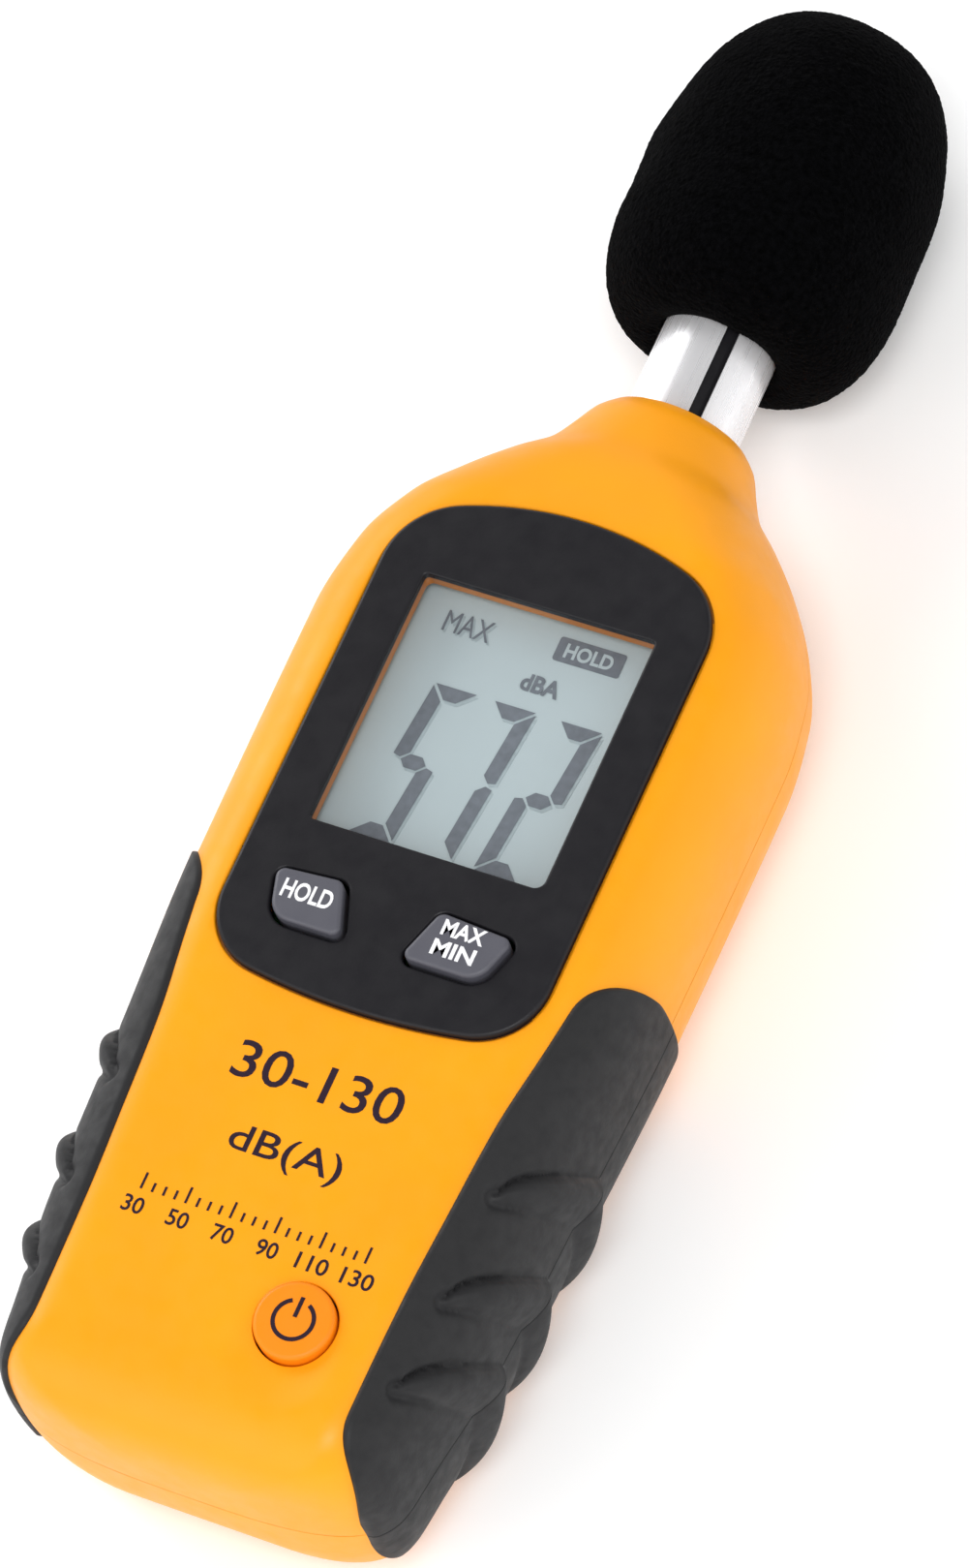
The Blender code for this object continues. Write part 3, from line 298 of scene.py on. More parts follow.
def lens_look():
    """Clear window: what is behind shows through, with a gloss that grows at a slant."""
    look = Look("clear_window", (1.0, 1.0, 1.0), 0.04)
    gloss = look.add('ShaderNodeBsdfGlossy')
    gloss.inputs["Roughness"].default_value = 0.06
    clear = look.add('ShaderNodeBsdfTransparent')
    clear.inputs["Color"].default_value = (0.985, 0.99, 0.99, 1.0)
    slant = look.add('ShaderNodeLayerWeight')
    slant.inputs["Blend"].default_value = 0.5
    steep = look.add('ShaderNodeMath', operation='POWER')
    steep.inputs[1].default_value = 5.0
    share = look.add('ShaderNodeMath', operation='MULTIPLY_ADD')
    share.inputs[1].default_value = 0.6
    share.inputs[2].default_value = 0.012
    mix = look.add('ShaderNodeMixShader')
    look.links.new(slant.outputs["Facing"], steep.inputs[0])
    look.links.new(steep.outputs["Value"], share.inputs[0])
    look.links.new(share.outputs["Value"], mix.inputs["Fac"])
    look.links.new(clear.outputs["BSDF"], mix.inputs[1])
    look.links.new(gloss.outputs["BSDF"], mix.inputs[2])
    look.links.new(mix.outputs["Shader"], look.nodes["Material Output"].inputs["Surface"])
    look.nodes.remove(look.shader)
    return look.material


def ink(name, colour, roughness=0.5, **sockets):
    """Screen-printed ink with slightly uneven cover."""
    look = Look(name, colour, roughness, **sockets)
    look.tint(look.noise(0.9, 3.0), 0.9, 1.12)
    look.bump(look.noise(0.25), 0.006)
    return look.material


def wrap_look():
    """Shrink-wrapped cell: dark green film with faint wrinkles along it."""
    look = Look("cell_shrink_wrap", (0.05, 0.16, 0.11), 0.28, Coat_Weight=0.5)
    look.tint(look.noise(5.0, 2.0), 0.92, 1.08)
    look.bump(look.noise(3.0, 2.0, (1.0, 0.1, 1.0)), 0.03)
    return look.material


ORANGE = moulded("orange_moulding", (0.95, 0.352, 0.002), 0.42, Specular_IOR_Level=0.32)
# Painted shade: a darker copper version of the orange moulding, standing in for the shadow on the window
# wall.
WINDOW_WALL_PAINTED_SHADE = moulded("window_wall_painted_shade", (0.42, 0.14, 0.016), 0.34)
ORANGE_KEY = moulded("orange_key_moulding", (0.90, 0.25, 0.002), 0.42, Specular_IOR_Level=0.32)
BLACK = moulded("black_moulding", (0.0105, 0.0100, 0.0125), 0.40, grain=0.3, Specular_IOR_Level=0.28)
GREY = moulded("grey_key_moulding", (0.088, 0.088, 0.108), 0.44)
WHITE_PART = moulded("white_moulding", (0.7, 0.7, 0.66), 0.45)
RUBBER = rubber()
FOAM = foam_look()
SILVER = brushed("turned_sleeve", (0.90, 0.90, 0.92), 0.27, (1.0, 0.04, 1.0), line=0.5, metallic=0.5)
STEEL = brushed("screw_steel_look", (0.55, 0.55, 0.57), 0.32, (1.0, 1.0, 8.0), line=0.6)
NICKEL = brushed("nickel_plate", (0.68, 0.65, 0.58), 0.26, (1.0, 1.0, 0.1), line=0.3)
BOARD = board_look()
LCD = lcd_look()
LENS = lens_look()
WRAP = wrap_look()
RED_WIRE = moulded("red_wire_sleeve", (0.55, 0.012, 0.010), 0.35)
BLACK_WIRE = moulded("black_wire_sleeve", (0.012, 0.012, 0.014), 0.4)
CHIP = moulded("chip_epoxy", (0.016, 0.016, 0.018), 0.55, grain=0.15)
DARK_INK = ink("dark_print", (0.020, 0.008, 0.020), 0.6, Specular_IOR_Level=0.2)
WHITE_INK = ink("white_print", (0.86, 0.86, 0.88), 0.45)
SEGMENT = ink("lcd_segment", (0.165, 0.183, 0.21), 0.36, Specular_IOR_Level=0.3)
# Painted shadow: a darker LCD colour for the shadow the segments cast on the reflector behind them.
SEGMENT_PAINTED_SHADOW = ink("lcd_segment_painted_shadow", (0.36, 0.425, 0.45), 0.36, Specular_IOR_Level=0.3)


# ---------------------------------------------------------------- mesh helpers

def face_outwards(bm):
    """Turns faces outwards where they disagree. A sound solid stays as it is, and keeps its hollow."""
    if bm.calc_volume(signed=True) < 0.0 or any(not edge.is_contiguous for edge in bm.edges):
        bmesh.ops.recalc_face_normals(bm, faces=bm.faces)


def finished(name, bm, material, body="casing", slot=None, replaces=(), smooth=32.0):
    """Turns a bmesh in millimetres into a piece that rides on its body."""
    bm.transform(Matrix.Scale(MM, 4))
    face_outwards(bm)
    mesh = bpy.data.meshes.new(name)
    bm.to_mesh(mesh)
    bm.free()
    obj = bpy.data.objects.new(name, mesh)
    bpy.context.scene.collection.objects.link(obj)
    return dressed(obj, material, body, replaces, smooth)


def dressed(obj, material, body="casing", replaces=(), smooth=32.0):
    """Material, shading and frame calls. Edges sharper than smooth, in degrees, stay crisp."""
    obj.data.materials.clear()
    obj.data.materials.append(material)
    obj.data.shade_smooth()
    obj.data.set_sharp_from_angle(angle=math.radians(smooth))
    if smooth < 90.0:
        normals = obj.modifiers.new("even_shading", 'WEIGHTED_NORMAL')
        normals.keep_sharp = True
    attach(obj, body)
    if replaces:
        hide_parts(*replaces)
    return obj


def paint_faces(obj, material, chosen):
    """Gives a second material to the faces whose centre, in millimetres, passes a test."""
    obj.data.materials.append(material)
    for face in obj.data.polygons:
        if chosen(*(face.center / MM)):
            face.material_index = 1


def add_box(bm, low, high):
    size = Vector(high) - Vector(low)
    centre = (Vector(high) + Vector(low)) / 2
    bmesh.ops.create_cube(bm, size=1.0, matrix=Matrix.Translation(centre) @ Matrix.Diagonal((*size, 1.0)))


def add_rod(bm, start, end, radius, segments=32):
    start, end = Vector(start), Vector(end)
    turn = Vector((0, 0, 1)).rotation_difference(end - start).to_matrix().to_4x4()
    bmesh.ops.create_cone(bm, cap_ends=True, segments=segments, radius1=radius, radius2=radius,
                          depth=(end - start).length, matrix=Matrix.Translation((start + end) / 2) @ turn)


def add_loft(bm, rings):
    """Skins a run of equal rings and caps its two ends."""
    rows = [[bm.verts.new(p) for p in ring] for ring in rings]
    for a, b in zip(rows, rows[1:]):
        for k in range(len(a)):
            n = (k + 1) % len(a)
            bm.faces.new((a[k], a[n], b[n], b[k]))
    bm.faces.new(rows[0])
    bm.faces.new(list(reversed(rows[-1])))


def add_turned(bm, profile, centre, segments=96):
    """A closed profile of (radius, y) turned round Y. Points on the axis become poles."""
    rows = []
    for radius, y in profile:
        ring = []
        for k in range(1 if radius == 0.0 else segments):
            a = math.tau * k / segments
            point = Vector((radius * math.cos(a), y, radius * math.sin(a)))
            ring.append(bm.verts.new(Vector(centre) + point))
        rows.append(ring)
    pairs = list(zip(rows, rows[1:]))
    if len(rows[0]) > 1 and len(rows[-1]) > 1:
        pairs.append((rows[-1], rows[0]))
    for a, b in pairs:
        for k in range(segments):
            n = (k + 1) % segments
            if len(a) == 1:
                bm.faces.new((a[0], b[n], b[k]))
            elif len(b) == 1:
                bm.faces.new((a[k], a[n], b[0]))
            else:
                bm.faces.new((a[k], a[n], b[n], b[k]))


def cut(bm, *others, operation='DIFFERENCE'):
    """Boolean of one closed bmesh with others, in turn. Uses the others up."""
    base = as_object("cut_base", bm)
    for other in others:
        tool = as_object("cut_tool", other)
        modifier = base.modifiers.new("cut", 'BOOLEAN')
        modifier.operation = operation
        modifier.solver = 'MANIFOLD'
        modifier.object = tool
        bpy.context.view_layer.update()
        result = evaluated_mesh(base)
        base.modifiers.clear()
        base.data = result
        bpy.data.objects.remove(tool, do_unlink=True)
    made = bmesh.new()
    made.from_mesh(base.data)
    bpy.data.objects.remove(base, do_unlink=True)
    return made


def evaluated_mesh(obj):
    return bpy.data.meshes.new_from_object(obj.evaluated_get(bpy.context.evaluated_depsgraph_get()))


def as_object(name, bm):
    face_outwards(bm)
    mesh = bpy.data.meshes.new(name)
    bm.to_mesh(mesh)
    bm.free()
    obj = bpy.data.objects.new(name, mesh)
    bpy.context.scene.collection.objects.link(obj)
    return obj


# ---------------------------------------------------------------- outlines

def rounded(corners, offset=0.0, steps=10):
    """A closed outline whose corners (x, y, radius) are arcs, moved outwards by an offset."""
    points = []
    for k, (x, y, radius) in enumerate(corners):
        here = Vector((x, y))
        before = (Vector(corners[k - 1][:2]) - here).normalized()
        after = (Vector(corners[(k + 1) % len(corners)][:2]) - here).normalized()
        half = before.angle(after) / 2
        inwards = (before + after).normalized() / math.sin(half)
        centre = here + inwards * radius
        first = here + before * (radius / math.tan(half)) - centre
        last = here + after * (radius / math.tan(half)) - centre
        sweep = first.angle_signed(last)
        reach = (radius + offset) / radius
        for step in range(steps + 1):
            points.append(centre + (Matrix.Rotation(-sweep * step / steps, 2) @ first) * reach)
    return [(p.x, p.y) for p in points]


def bezel_outline(offset=0.0, steps=22):
    """Arched top and bottom joined to straight sides by round corners."""
    side = BEZEL_X + offset
    points = []
    for end, arch, corner, sign in ((BEZEL_TOP, 38.0, 8.5, 1), (BEZEL_BOTTOM, 75.0, 7.5, -1)):
        arch, corner = arch + offset, corner + offset
        arch_y = end - sign * (arch - offset)
        centre_x = side - corner
        centre_y = arch_y + sign * math.sqrt((arch - corner) ** 2 - centre_x ** 2)
        lean = math.atan2(centre_x, abs(centre_y - arch_y))
        right = [(centre_x + corner * math.cos(a), centre_y + sign * corner * math.sin(a))
                 for a in np.linspace(0.0, math.pi / 2 - lean, steps)]
        crown = [(arch * math.sin(a), arch_y + sign * arch * math.cos(a))
                 for a in np.linspace(lean, -lean, 2 * steps)[1:-1]]
        left = [(-x, y) for x, y in reversed(right)]
        points.append(right + crown + left)
    top, bottom = points
    return top + list(reversed(bottom))


def window_outline(offset=0.0):
    x, y = WINDOW_X, WINDOW_Y
    return rounded(((-x, y, 0.5), (-x, -y, 0.5), (x, -y, 1.1), (x, y, 0.5)), offset, 6)


def key_outline(corners):
    return lambda offset=0.0: rounded(corners, offset)


def round_outline(x, y, radius, segments=96):
    return lambda offset=0.0: [(x + (radius + offset) * math.cos(a), y + (radius + offset) * math.sin(a))
                               for a in np.linspace(0.0, math.tau, segments, endpoint=False)]


def stack(outline, *layers):
    """A closed solid through an outline's offsets, each layer (offset, z), from the bottom up."""
    bm = bmesh.new()
    add_loft(bm, [[(x, y, z) for x, y in outline(offset)] for offset, z in layers])
    return bm


def rounded_top(low, top, radius, offset=0.0, steps=5):
    """Layers of a straight side that rounds over to a flat top."""
    arc = [(offset - radius * (1 - math.cos(a)), top - radius * (1 - math.sin(a)))
           for a in np.linspace(0.0, math.pi / 2, steps)]
    return [(offset, low), *arc]


def flared_mouth(low, top, radius, offset=0.0, steps=4):
    """Layers of a hole cutter whose mouth opens in a small round at the surface."""
    arc = [(offset + radius * (1 - math.cos(a)), top - radius * (1 - math.sin(a)))
           for a in np.linspace(0.0, math.pi / 2, steps)]
    return [(offset, low), *arc, (offset + radius, top + 6.0)]


# ---------------------------------------------------------------- casing surface

def through(x, xs, ys):
    """A smooth curve through the stations that doesn't overshoot them."""
    widths, rises = np.diff(xs), np.diff(ys)
    slopes = rises / widths
    tangents = np.zeros(len(xs))
    tangents[0], tangents[-1] = slopes[0], slopes[-1]
    for k in range(1, len(xs) - 1):
        a, b = slopes[k - 1], slopes[k]
        if a * b > 0:
            wa, wb = 2 * widths[k] + widths[k - 1], widths[k] + 2 * widths[k - 1]
            tangents[k] = (wa + wb) / (wa / a + wb / b)
    k = int(np.clip(np.searchsorted(xs, x) - 1, 0, len(widths) - 1))
    t = (x - xs[k]) / widths[k]
    return ((1 + 2 * t) * (1 - t) ** 2 * ys[k] + t * (1 - t) ** 2 * widths[k] * tangents[k]
            + t * t * (3 - 2 * t) * ys[k + 1] + t * t * (t - 1) * widths[k] * tangents[k + 1])


STATION_TABLE = np.array(sorted(STATIONS))
EDGE_TABLE = np.array(sorted(GRIP_EDGE_X)).T


def end_fall(y, rule, inset=0.0):
    """How much of its full size the casing keeps near the bottom end."""
    start, rise_power, fall_power = rule
    t = min(max((start - y) / (start - END_Y - inset), 0.0), 1.0)
    return (1 - t ** rise_power) ** (1 / fall_power)


def half_section(y, front, inset=0.0):
    """Points from the parting line at +X to the middle of the front or the back, with their run."""
    half, high, deep, front_flat, rear_flat, power = (
        through(y, STATION_TABLE[:, 0], STATION_TABLE[:, k]) for k in range(1, 7))
    plan = end_fall(y, PLAN_END, inset)
    height = ((high if front else deep) - inset) * end_fall(y, CHIN_END if front else HEEL_END, inset)
    flat = (front_flat if front else rear_flat) * plan
    turn = np.linspace(0.0, math.pi / 2, 90)
    x = flat + ((half - inset) * plan - flat) * np.cos(turn) ** (2 / power)
    rise = height * np.sin(turn) ** (2 / power)
    x, rise = np.append(x, 0.0), np.append(rise, rise[-1])
    z = AXIS_Z + (rise if front else -rise)
    return x, z, np.concatenate([[0.0], np.cumsum(np.hypot(np.diff(x), np.diff(z)))])


def skin_points(y, shares, front, inset=0.0):
    """Points of the casing's skin: a share is 0 at the parting line and 1 in the middle."""
    x, z, run = half_section(y, front, inset)
    along = np.asarray(shares) * run[-1]
    return [Vector((px, y, pz)) for px, pz in zip(np.interp(along, run, x), np.interp(along, run, z))]


def dish(x, y):
    """Depth of the shallow thumb dish below the power key."""
    spread = ((x - DISH_AT[0]) / DISH_SIZE[0]) ** 2 + ((y - DISH_AT[1]) / DISH_SIZE[1]) ** 2
    return DISH_DEPTH * max(1 - spread, 0.0) ** 1.5


def casing(inset=0.0, columns=58):
    """The casing's closed skin, full size or inset by the wall, as one bmesh."""
    last = END_Y + inset
    rows = [y for high, low, count in ((NECK_Y, 10.0, 56), (8.0, -60.0, 30), (-60.7, -74.0, 22))
            for y in np.linspace(high, low, count)]
    rows += [-74.0 + (74.0 + last) * math.sin(a) for a in np.linspace(0.06, math.pi / 2 - 0.02, 26)]
    if inset:
        rows = [y for y in rows if y < NECK_Y - 1.5][::3]
    shares = np.linspace(0.0, 1.0, columns + 1)
    rings = []
    for y in rows:
        front = skin_points(y, shares, True, inset)
        rear = skin_points(y, shares, False, inset)
        ring = front + [Vector((-p.x, p.y, p.z)) for p in reversed(front[:-1])]
        ring += [Vector((-p.x, p.y, p.z)) for p in rear[1:-1]] + list(reversed(rear[1:]))
        for p in ring:
            p.z -= dish(p.x, p.y) if p.z > AXIS_Z else 0.0
        rings.append(ring)
    bm = bmesh.new()
    add_loft(bm, rings)
    return bm


# ---------------------------------------------------------------- grips

def grip_reach(y, front):
    """How far a grip wraps from the parting line towards the middle, as a share of the half section."""
    reach = REAR_REACH
    if front:
        x, _, run = half_section(y, True)
        edge_x = min(through(y, *EDGE_TABLE), x[0] - 0.1)
        reach = np.interp(-edge_x, -x, run) / run[-1]
    for end, (start, power) in ((GRIP_TOP, TOP_FALL), (GRIP_BOTTOM, BOTTOM_FALL)):
        t = min(max((y - start) / (end - start), 0.0), 1.0)
        reach *= (1 - t ** power) ** (1 / power)
    return reach


def ridge_heights(y, shares):
    """Three horn-shaped finger ridges that widen from a tip to the parting line, each in a fine crease."""
    share = np.clip(shares / RIDGE_REACH, 0.0, 1.0)
    beyond = np.maximum(shares - RIDGE_REACH, 0.0) * HALF_GIRTH
    heights = np.zeros(len(shares))
    for tip in RIDGE_TIPS:
        low = tip - RIDGE_TIP + RIDGE_LOWER[0] * (1 - share) ** RIDGE_LOWER[1]
        high = tip + RIDGE_TIP + RIDGE_UPPER[0] * (1 - share) ** RIDGE_UPPER[1]
        t = np.clip((y - low) / (high - low), 0.0, 1.0)
        rise = RIDGE_HEIGHT * RIDGE_PEAK * (1 - (1 - t) ** 2) * (1 - t ** 6)
        edge = np.where(share < 1.0, np.minimum(np.abs(y - low), np.abs(y - high)),
                        np.abs(np.hypot(y - tip, beyond) - RIDGE_TIP))
        crease = np.exp(-(edge / CREASE_WIDTH) ** 2) * share ** 1.5
        heights += rise * (1 - share ** 8) - CREASE_DEPTH * crease
    return heights


def skin_frames(y, shares, front):
    """Skin points across one station, with their outward normals."""
    def at(station, where):
        x, z, run = half_section(station, front)
        along = np.clip(where, 0.0, 1.0) * run[-1]
        columns = np.interp(along, run, x), np.full(len(where), station), np.interp(along, run, z)
        return np.stack(columns, axis=1)

    across = at(y, shares + 0.01) - at(y, shares - 0.01)
    normals = np.cross(at(y + 0.2, shares) - at(y - 0.2, shares), across)
    normals /= np.linalg.norm(normals, axis=1)[:, None]
    outward = (normals[:, 0] > 0) | ((normals[:, 2] > 0) == front)
    return at(y, np.maximum(shares, 0.0)), normals * np.where(outward, 1.0, -1.0)[:, None]


def grip_grid(front, margin, rows=300, columns=70):
    """Rings of points across a right-hand grip, out over the top and back underneath."""
    rings = []
    start = -0.01 if margin else 0.001
    across = (1 - np.cos(np.linspace(0.0, math.pi, columns + 1))) / 2
    down = np.linspace(0.0, 1.0, rows)
    for share in 0.4 * down + 0.3 * (1 - np.cos(math.pi * down)):
        y = GRIP_BOTTOM + (GRIP_TOP - GRIP_BOTTOM) * share
        width = max(grip_reach(y, front), NARROWEST_REACH) + margin / HALF_GIRTH - start
        y += margin * (2 * share - 1)
        shares = start + width * across
        points, normals = skin_frames(y, shares, front)
        points[shares < 0.0, 2] += 0.4 * (-1 if front else 1)
        end = min(share, 1 - share) * (GRIP_TOP - GRIP_BOTTOM)
        outer = np.minimum(np.minimum((1 - across) * width * HALF_GIRTH, end) / GRIP_ROUND, 1.0)
        lip = np.minimum(across * width * HALF_GIRTH / LIP_WIDTH, 1.0)
        pad = -GRIP_SUNK + GRIP_RISE * np.sqrt(1 - (1 - outer) ** 2) - LIP_DROP * (1 - lip) ** 2
        proud = np.full(len(shares), RECESS_PROUD) if margin else pad + ridge_heights(y, shares)
        over = points + normals * proud[:, None]
        under = points - normals * (GRIP_DEPTH + margin)
        rings.append(np.concatenate([over, under[::-1]]))
    return rings


def grip_solid(front, side, margin=0.0, **counts):
    bm = bmesh.new()
    add_loft(bm, [ring * (side, 1.0, 1.0) for ring in grip_grid(front, margin, **counts)])
    return bm


def make_grips():
    for side, side_name in ((-1, "left"), (1, "right")):
        for front, half_name in ((True, "front"), (False, "rear")):
            name = f"{side_name}_grip_{half_name}"
            finished(f"{name}_rubber", grip_solid(front, side), RUBBER, slot="grip_rubber", replaces=(name,),
                     smooth=50.0)


def grip_recesses(front):
    return [grip_solid(front, side, RECESS_MARGIN, rows=120, columns=12) for side in (-1, 1)]


# ---------------------------------------------------------------- casing

def block(low, high):
    bm = bmesh.new()
    add_box(bm, low, high)
    return bm


def slab(low, high):
    """Everything between two heights."""
    return block((-60, -120, low), (60, 80, high))


def rods(places, low, high, radius):
    bm = bmesh.new()
    for x, y in places:
        add_rod(bm, (x, y, low), (x, y, high), radius)
    return bm


def neck_bore():
    bm = bmesh.new()
    add_rod(bm, (0, BORE_Y[0], AXIS_Z), (0, BORE_Y[1], AXIS_Z), BORE_R, 96)
    return bm


def make_front_shell():
    shell = cut(casing(), casing(WALL, INNER_COLUMNS))
    shell = cut(shell, slab(-20, AXIS_Z + SEAM), neck_bore())
    shell = cut(shell, rods(ALL_SCREWS, AXIS_Z + 2 * GAP, FRONT_POST_TOP, FRONT_POST_R), operation='UNION')
    shell = cut(shell, rods(ALL_SCREWS, 10.0, FRONT_HOLE_TOP, SHANK_R))
    seat = stack(bezel_outline, *flared_mouth(FACE_Z - BEZEL_THICK - GAP, SKIN_Z, 0.22, 0.2))
    window = stack(window_outline, (WINDOW_STEP, CUT_LOW), (WINDOW_STEP, CUT_HIGH))
    holes = [stack(key_outline(corners), (KEY_STEP, CUT_LOW), (KEY_STEP, CUT_HIGH))
             for corners in (HOLD_CORNERS, MAX_MIN_CORNERS)]
    power = stack(round_outline(POWER_X, POWER_Y, POWER_R), *flared_mouth(CUT_LOW, SKIN_Z, 0.15, 0.2))
    shell = cut(shell, seat, window, *holes, power, *grip_recesses(True))
    moulding = finished("front_shell_moulding", shell, ORANGE, slot="orange_shell", replaces=("front_shell",))
    # The window wall's faces get the darker copper: painted shade for the shadow inside the window.
    paint_faces(moulding, WINDOW_WALL_PAINTED_SHADE,
                lambda x, y, z: abs(x) < WINDOW_X + 0.7 and abs(y) < WINDOW_Y + 0.7 and z > PAINTED_SHADE_WALL_Z)


def make_rear_shell():
    shell = cut(casing(), casing(WALL, INNER_COLUMNS))
    shell = cut(shell, slab(AXIS_Z - SEAM, 60), neck_bore())
    side = BAY_X + BAY_SIDE
    bay = block((-side, BAY_LOW - BAY_WALL, BAY_FLOOR), (side, BAY_HIGH + BAY_WALL, BAY_TOP + BAY_WALL))
    ledge = block((-14.9, -78.0, 3.5), (14.9, BAY_LOW - BAY_WALL + 0.5, 6.6))
    upper_posts = rods(UPPER_SCREWS, 4.3, AXIS_Z - 2 * GAP, UPPER_POST_R)
    lower_posts = rods(LOWER_SCREWS, 6.0, AXIS_Z - 2 * GAP, LOWER_POST_R)
    shell = cut(shell, bay, ledge, upper_posts, lower_posts, operation='UNION')
    hollow = block((-BAY_X, BAY_LOW, -2), (BAY_X, BAY_HIGH, BAY_TOP))
    doorway = block((-DOOR_X - GAP, -95, -2), (DOOR_X + GAP, DOOR_TOP_Y + GAP, DOOR_Z + GAP))
    shell = cut(shell, rods(ALL_SCREWS, -2, 20, SHANK_R), rods(UPPER_SCREWS, -2, UPPER_HEAD_TOP, HEAD_R),
                rods(LOWER_SCREWS, -2, LOWER_HEAD_TOP, HEAD_R), hollow, doorway, *grip_recesses(False))
    finished("rear_shell_moulding", shell, ORANGE, slot="orange_shell", replaces=("rear_shell",))


def make_battery_door():
    door = cut(casing(), casing(WALL, INNER_COLUMNS))
    door = cut(door, block((-DOOR_X, -95, -2), (DOOR_X, DOOR_TOP_Y, DOOR_Z)), operation='INTERSECT')
    grooves = bmesh.new()
    for k in range(DOOR_GROOVES):
        y = -27.0 - GROOVE_PITCH * k
        add_rod(grooves, (-GROOVE_HALF, y, -0.25), (GROOVE_HALF, y, -0.25), GROOVE_R, 24)
    arrow = stack(lambda offset=0.0: ((-3.2, -39.0), (0.0, -43.5), (3.2, -39.0)), (0, -1.0), (0, 0.35))
    door = cut(door, grooves, arrow)
    finished("battery_door_moulding", door, ORANGE, "door", "orange_shell", ("battery_door",))


# ---------------------------------------------------------------- display

def make_bezel():
    bezel = stack(bezel_outline, *rounded_top(FACE_Z - BEZEL_THICK, FACE_Z, 0.45))
    window = stack(window_outline, *flared_mouth(CUT_LOW, FACE_Z, 0.25))
    holes = [stack(key_outline(corners), *flared_mouth(CUT_LOW, FACE_Z, 0.3, 0.4))
             for corners in (HOLD_CORNERS, MAX_MIN_CORNERS)]
    bezel = cut(bezel, window, *holes)
    finished("display_bezel_moulding", bezel, BLACK, slot="black_plastic", replaces=("display_bezel",))


DIGITS = {"5": "afgcd", "7": "abc", "2": "abged"}
DIGIT_WIDTH, DIGIT_HEIGHT, DIGIT_BAR, DIGIT_SPLIT = 4.9, 18.3, 1.6, 0.16


def digit_bars(text, lefts, middle, slant=0.1):
    """Seven-segment bars as (x, y) polygons: mitred corners with thin splits between the bars."""
    w, h, s, g = DIGIT_WIDTH, DIGIT_HEIGHT / 2, DIGIT_BAR, DIGIT_SPLIT
    top = ((g, h), (w - g, h), (w - s - g, h - s), (s + g, h - s))
    upper = ((0, h - 1.8 * g), (s, h - s - 1.8 * g), (s, s / 2 + g), (s / 2, 1.2 * g), (0, 0.25 * s))
    centre = ((s / 2 + 1.5 * g, 0), (s + g, s / 2), (w - s - g, s / 2),
              (w - s / 2 - 1.5 * g, 0), (w - s - g, -s / 2), (s + g, -s / 2))
    shapes = {
        "a": top, "f": upper, "g": centre,
        "b": [(w - x, y) for x, y in upper], "c": [(w - x, -y) for x, y in upper],
        "e": [(x, -y) for x, y in upper], "d": [(x, -y) for x, y in top],
    }
    return [[(left + x + slant * y, middle + y) for x, y in shapes[key]]
            for left, figure in zip(lefts, text) for key in DIGITS[figure]]


def flat_shapes(name, shapes, z, material, thickness=0.03, **finish):
    """Thin plates from (x, y) outlines, as one piece."""
    bm = bmesh.new()
    for shape in shapes:
        add_loft(bm, [[(x, y, z + t) for x, y in shape] for t in (0.0, thickness)])
    return finished(name, bm, material, **finish)


def lettering(name, text, size, at, material, weight=0.0, body="casing"):
    """Plain print fitted to a (width, height) and centred, as a thin mesh just above the surface."""
    curve = bpy.data.curves.new(name, 'FONT')
    curve.body = text
    curve.size = size[1] * MM
    curve.offset = weight * MM
    curve.extrude = 0.015 * MM
    curve.resolution_u = 4
    source = bpy.data.objects.new(name, curve)
    bpy.context.scene.collection.objects.link(source)
    bpy.context.view_layer.update()
    mesh = evaluated_mesh(source)
    bpy.data.objects.remove(source, do_unlink=True)
    xs, ys = ([v.co[axis] for v in mesh.vertices] for axis in (0, 1))
    scale = (size[0] * MM / (max(xs) - min(xs)), size[1] * MM / (max(ys) - min(ys)), 1.0, 1.0)
    centre = Vector(((max(xs) + min(xs)) / 2, (max(ys) + min(ys)) / 2, 0.0))
    mesh.transform(Matrix.Translation(Vector(at) * MM) @ Matrix.Diagonal(scale) @ Matrix.Translation(-centre))
    obj = bpy.data.objects.new(name, mesh)
    bpy.context.scene.collection.objects.link(obj)
    return dressed(obj, material, body)


def make_lcd():
    bars = digit_bars("572", (-9.5, -2.8, 4.7), -4.0)
    flat_shapes("lcd_reading", bars, LCD_TOP + 0.06, SEGMENT, slot="lcd_glass")
    # Painted shadow: the bars again, moved down and right, just above the glass in a darker LCD colour.
    painted_shadow = [[(x + 0.3, y - 0.3) for x, y in bar] for bar in bars]
    flat_shapes("lcd_reading_painted_shadow", painted_shadow, LCD_TOP + 0.01, SEGMENT_PAINTED_SHADOW, slot="lcd_glass")
    top = LCD_TOP + 0.08
    # MAX again, moved down and right, as its painted shadow.
    lettering("lcd_max_painted_shadow", "MAX", (5.3, 2.4), (-7.6, 12.0, top - 0.04), SEGMENT_PAINTED_SHADOW)
    lettering("lcd_max", "MAX", (5.3, 2.4), (-7.9, 12.2, top), SEGMENT)
    lettering("lcd_unit", "dBA", (4.3, 2.0), (2.1, 8.2, top), SEGMENT, 0.06)
    field = rounded(((1.9, 11.4, 0.3), (9.4, 11.4, 0.3), (9.4, 14.2, 0.3), (1.9, 14.2, 0.3)), 0.0, 3)
    flat_shapes("lcd_hold_field", [field], LCD_TOP + 0.04, SEGMENT, slot="lcd_glass")
    lettering("lcd_hold", "HOLD", (5.4, 1.7), (5.6, 12.8, top + 0.01), LCD, 0.05)


# ---------------------------------------------------------------- keys

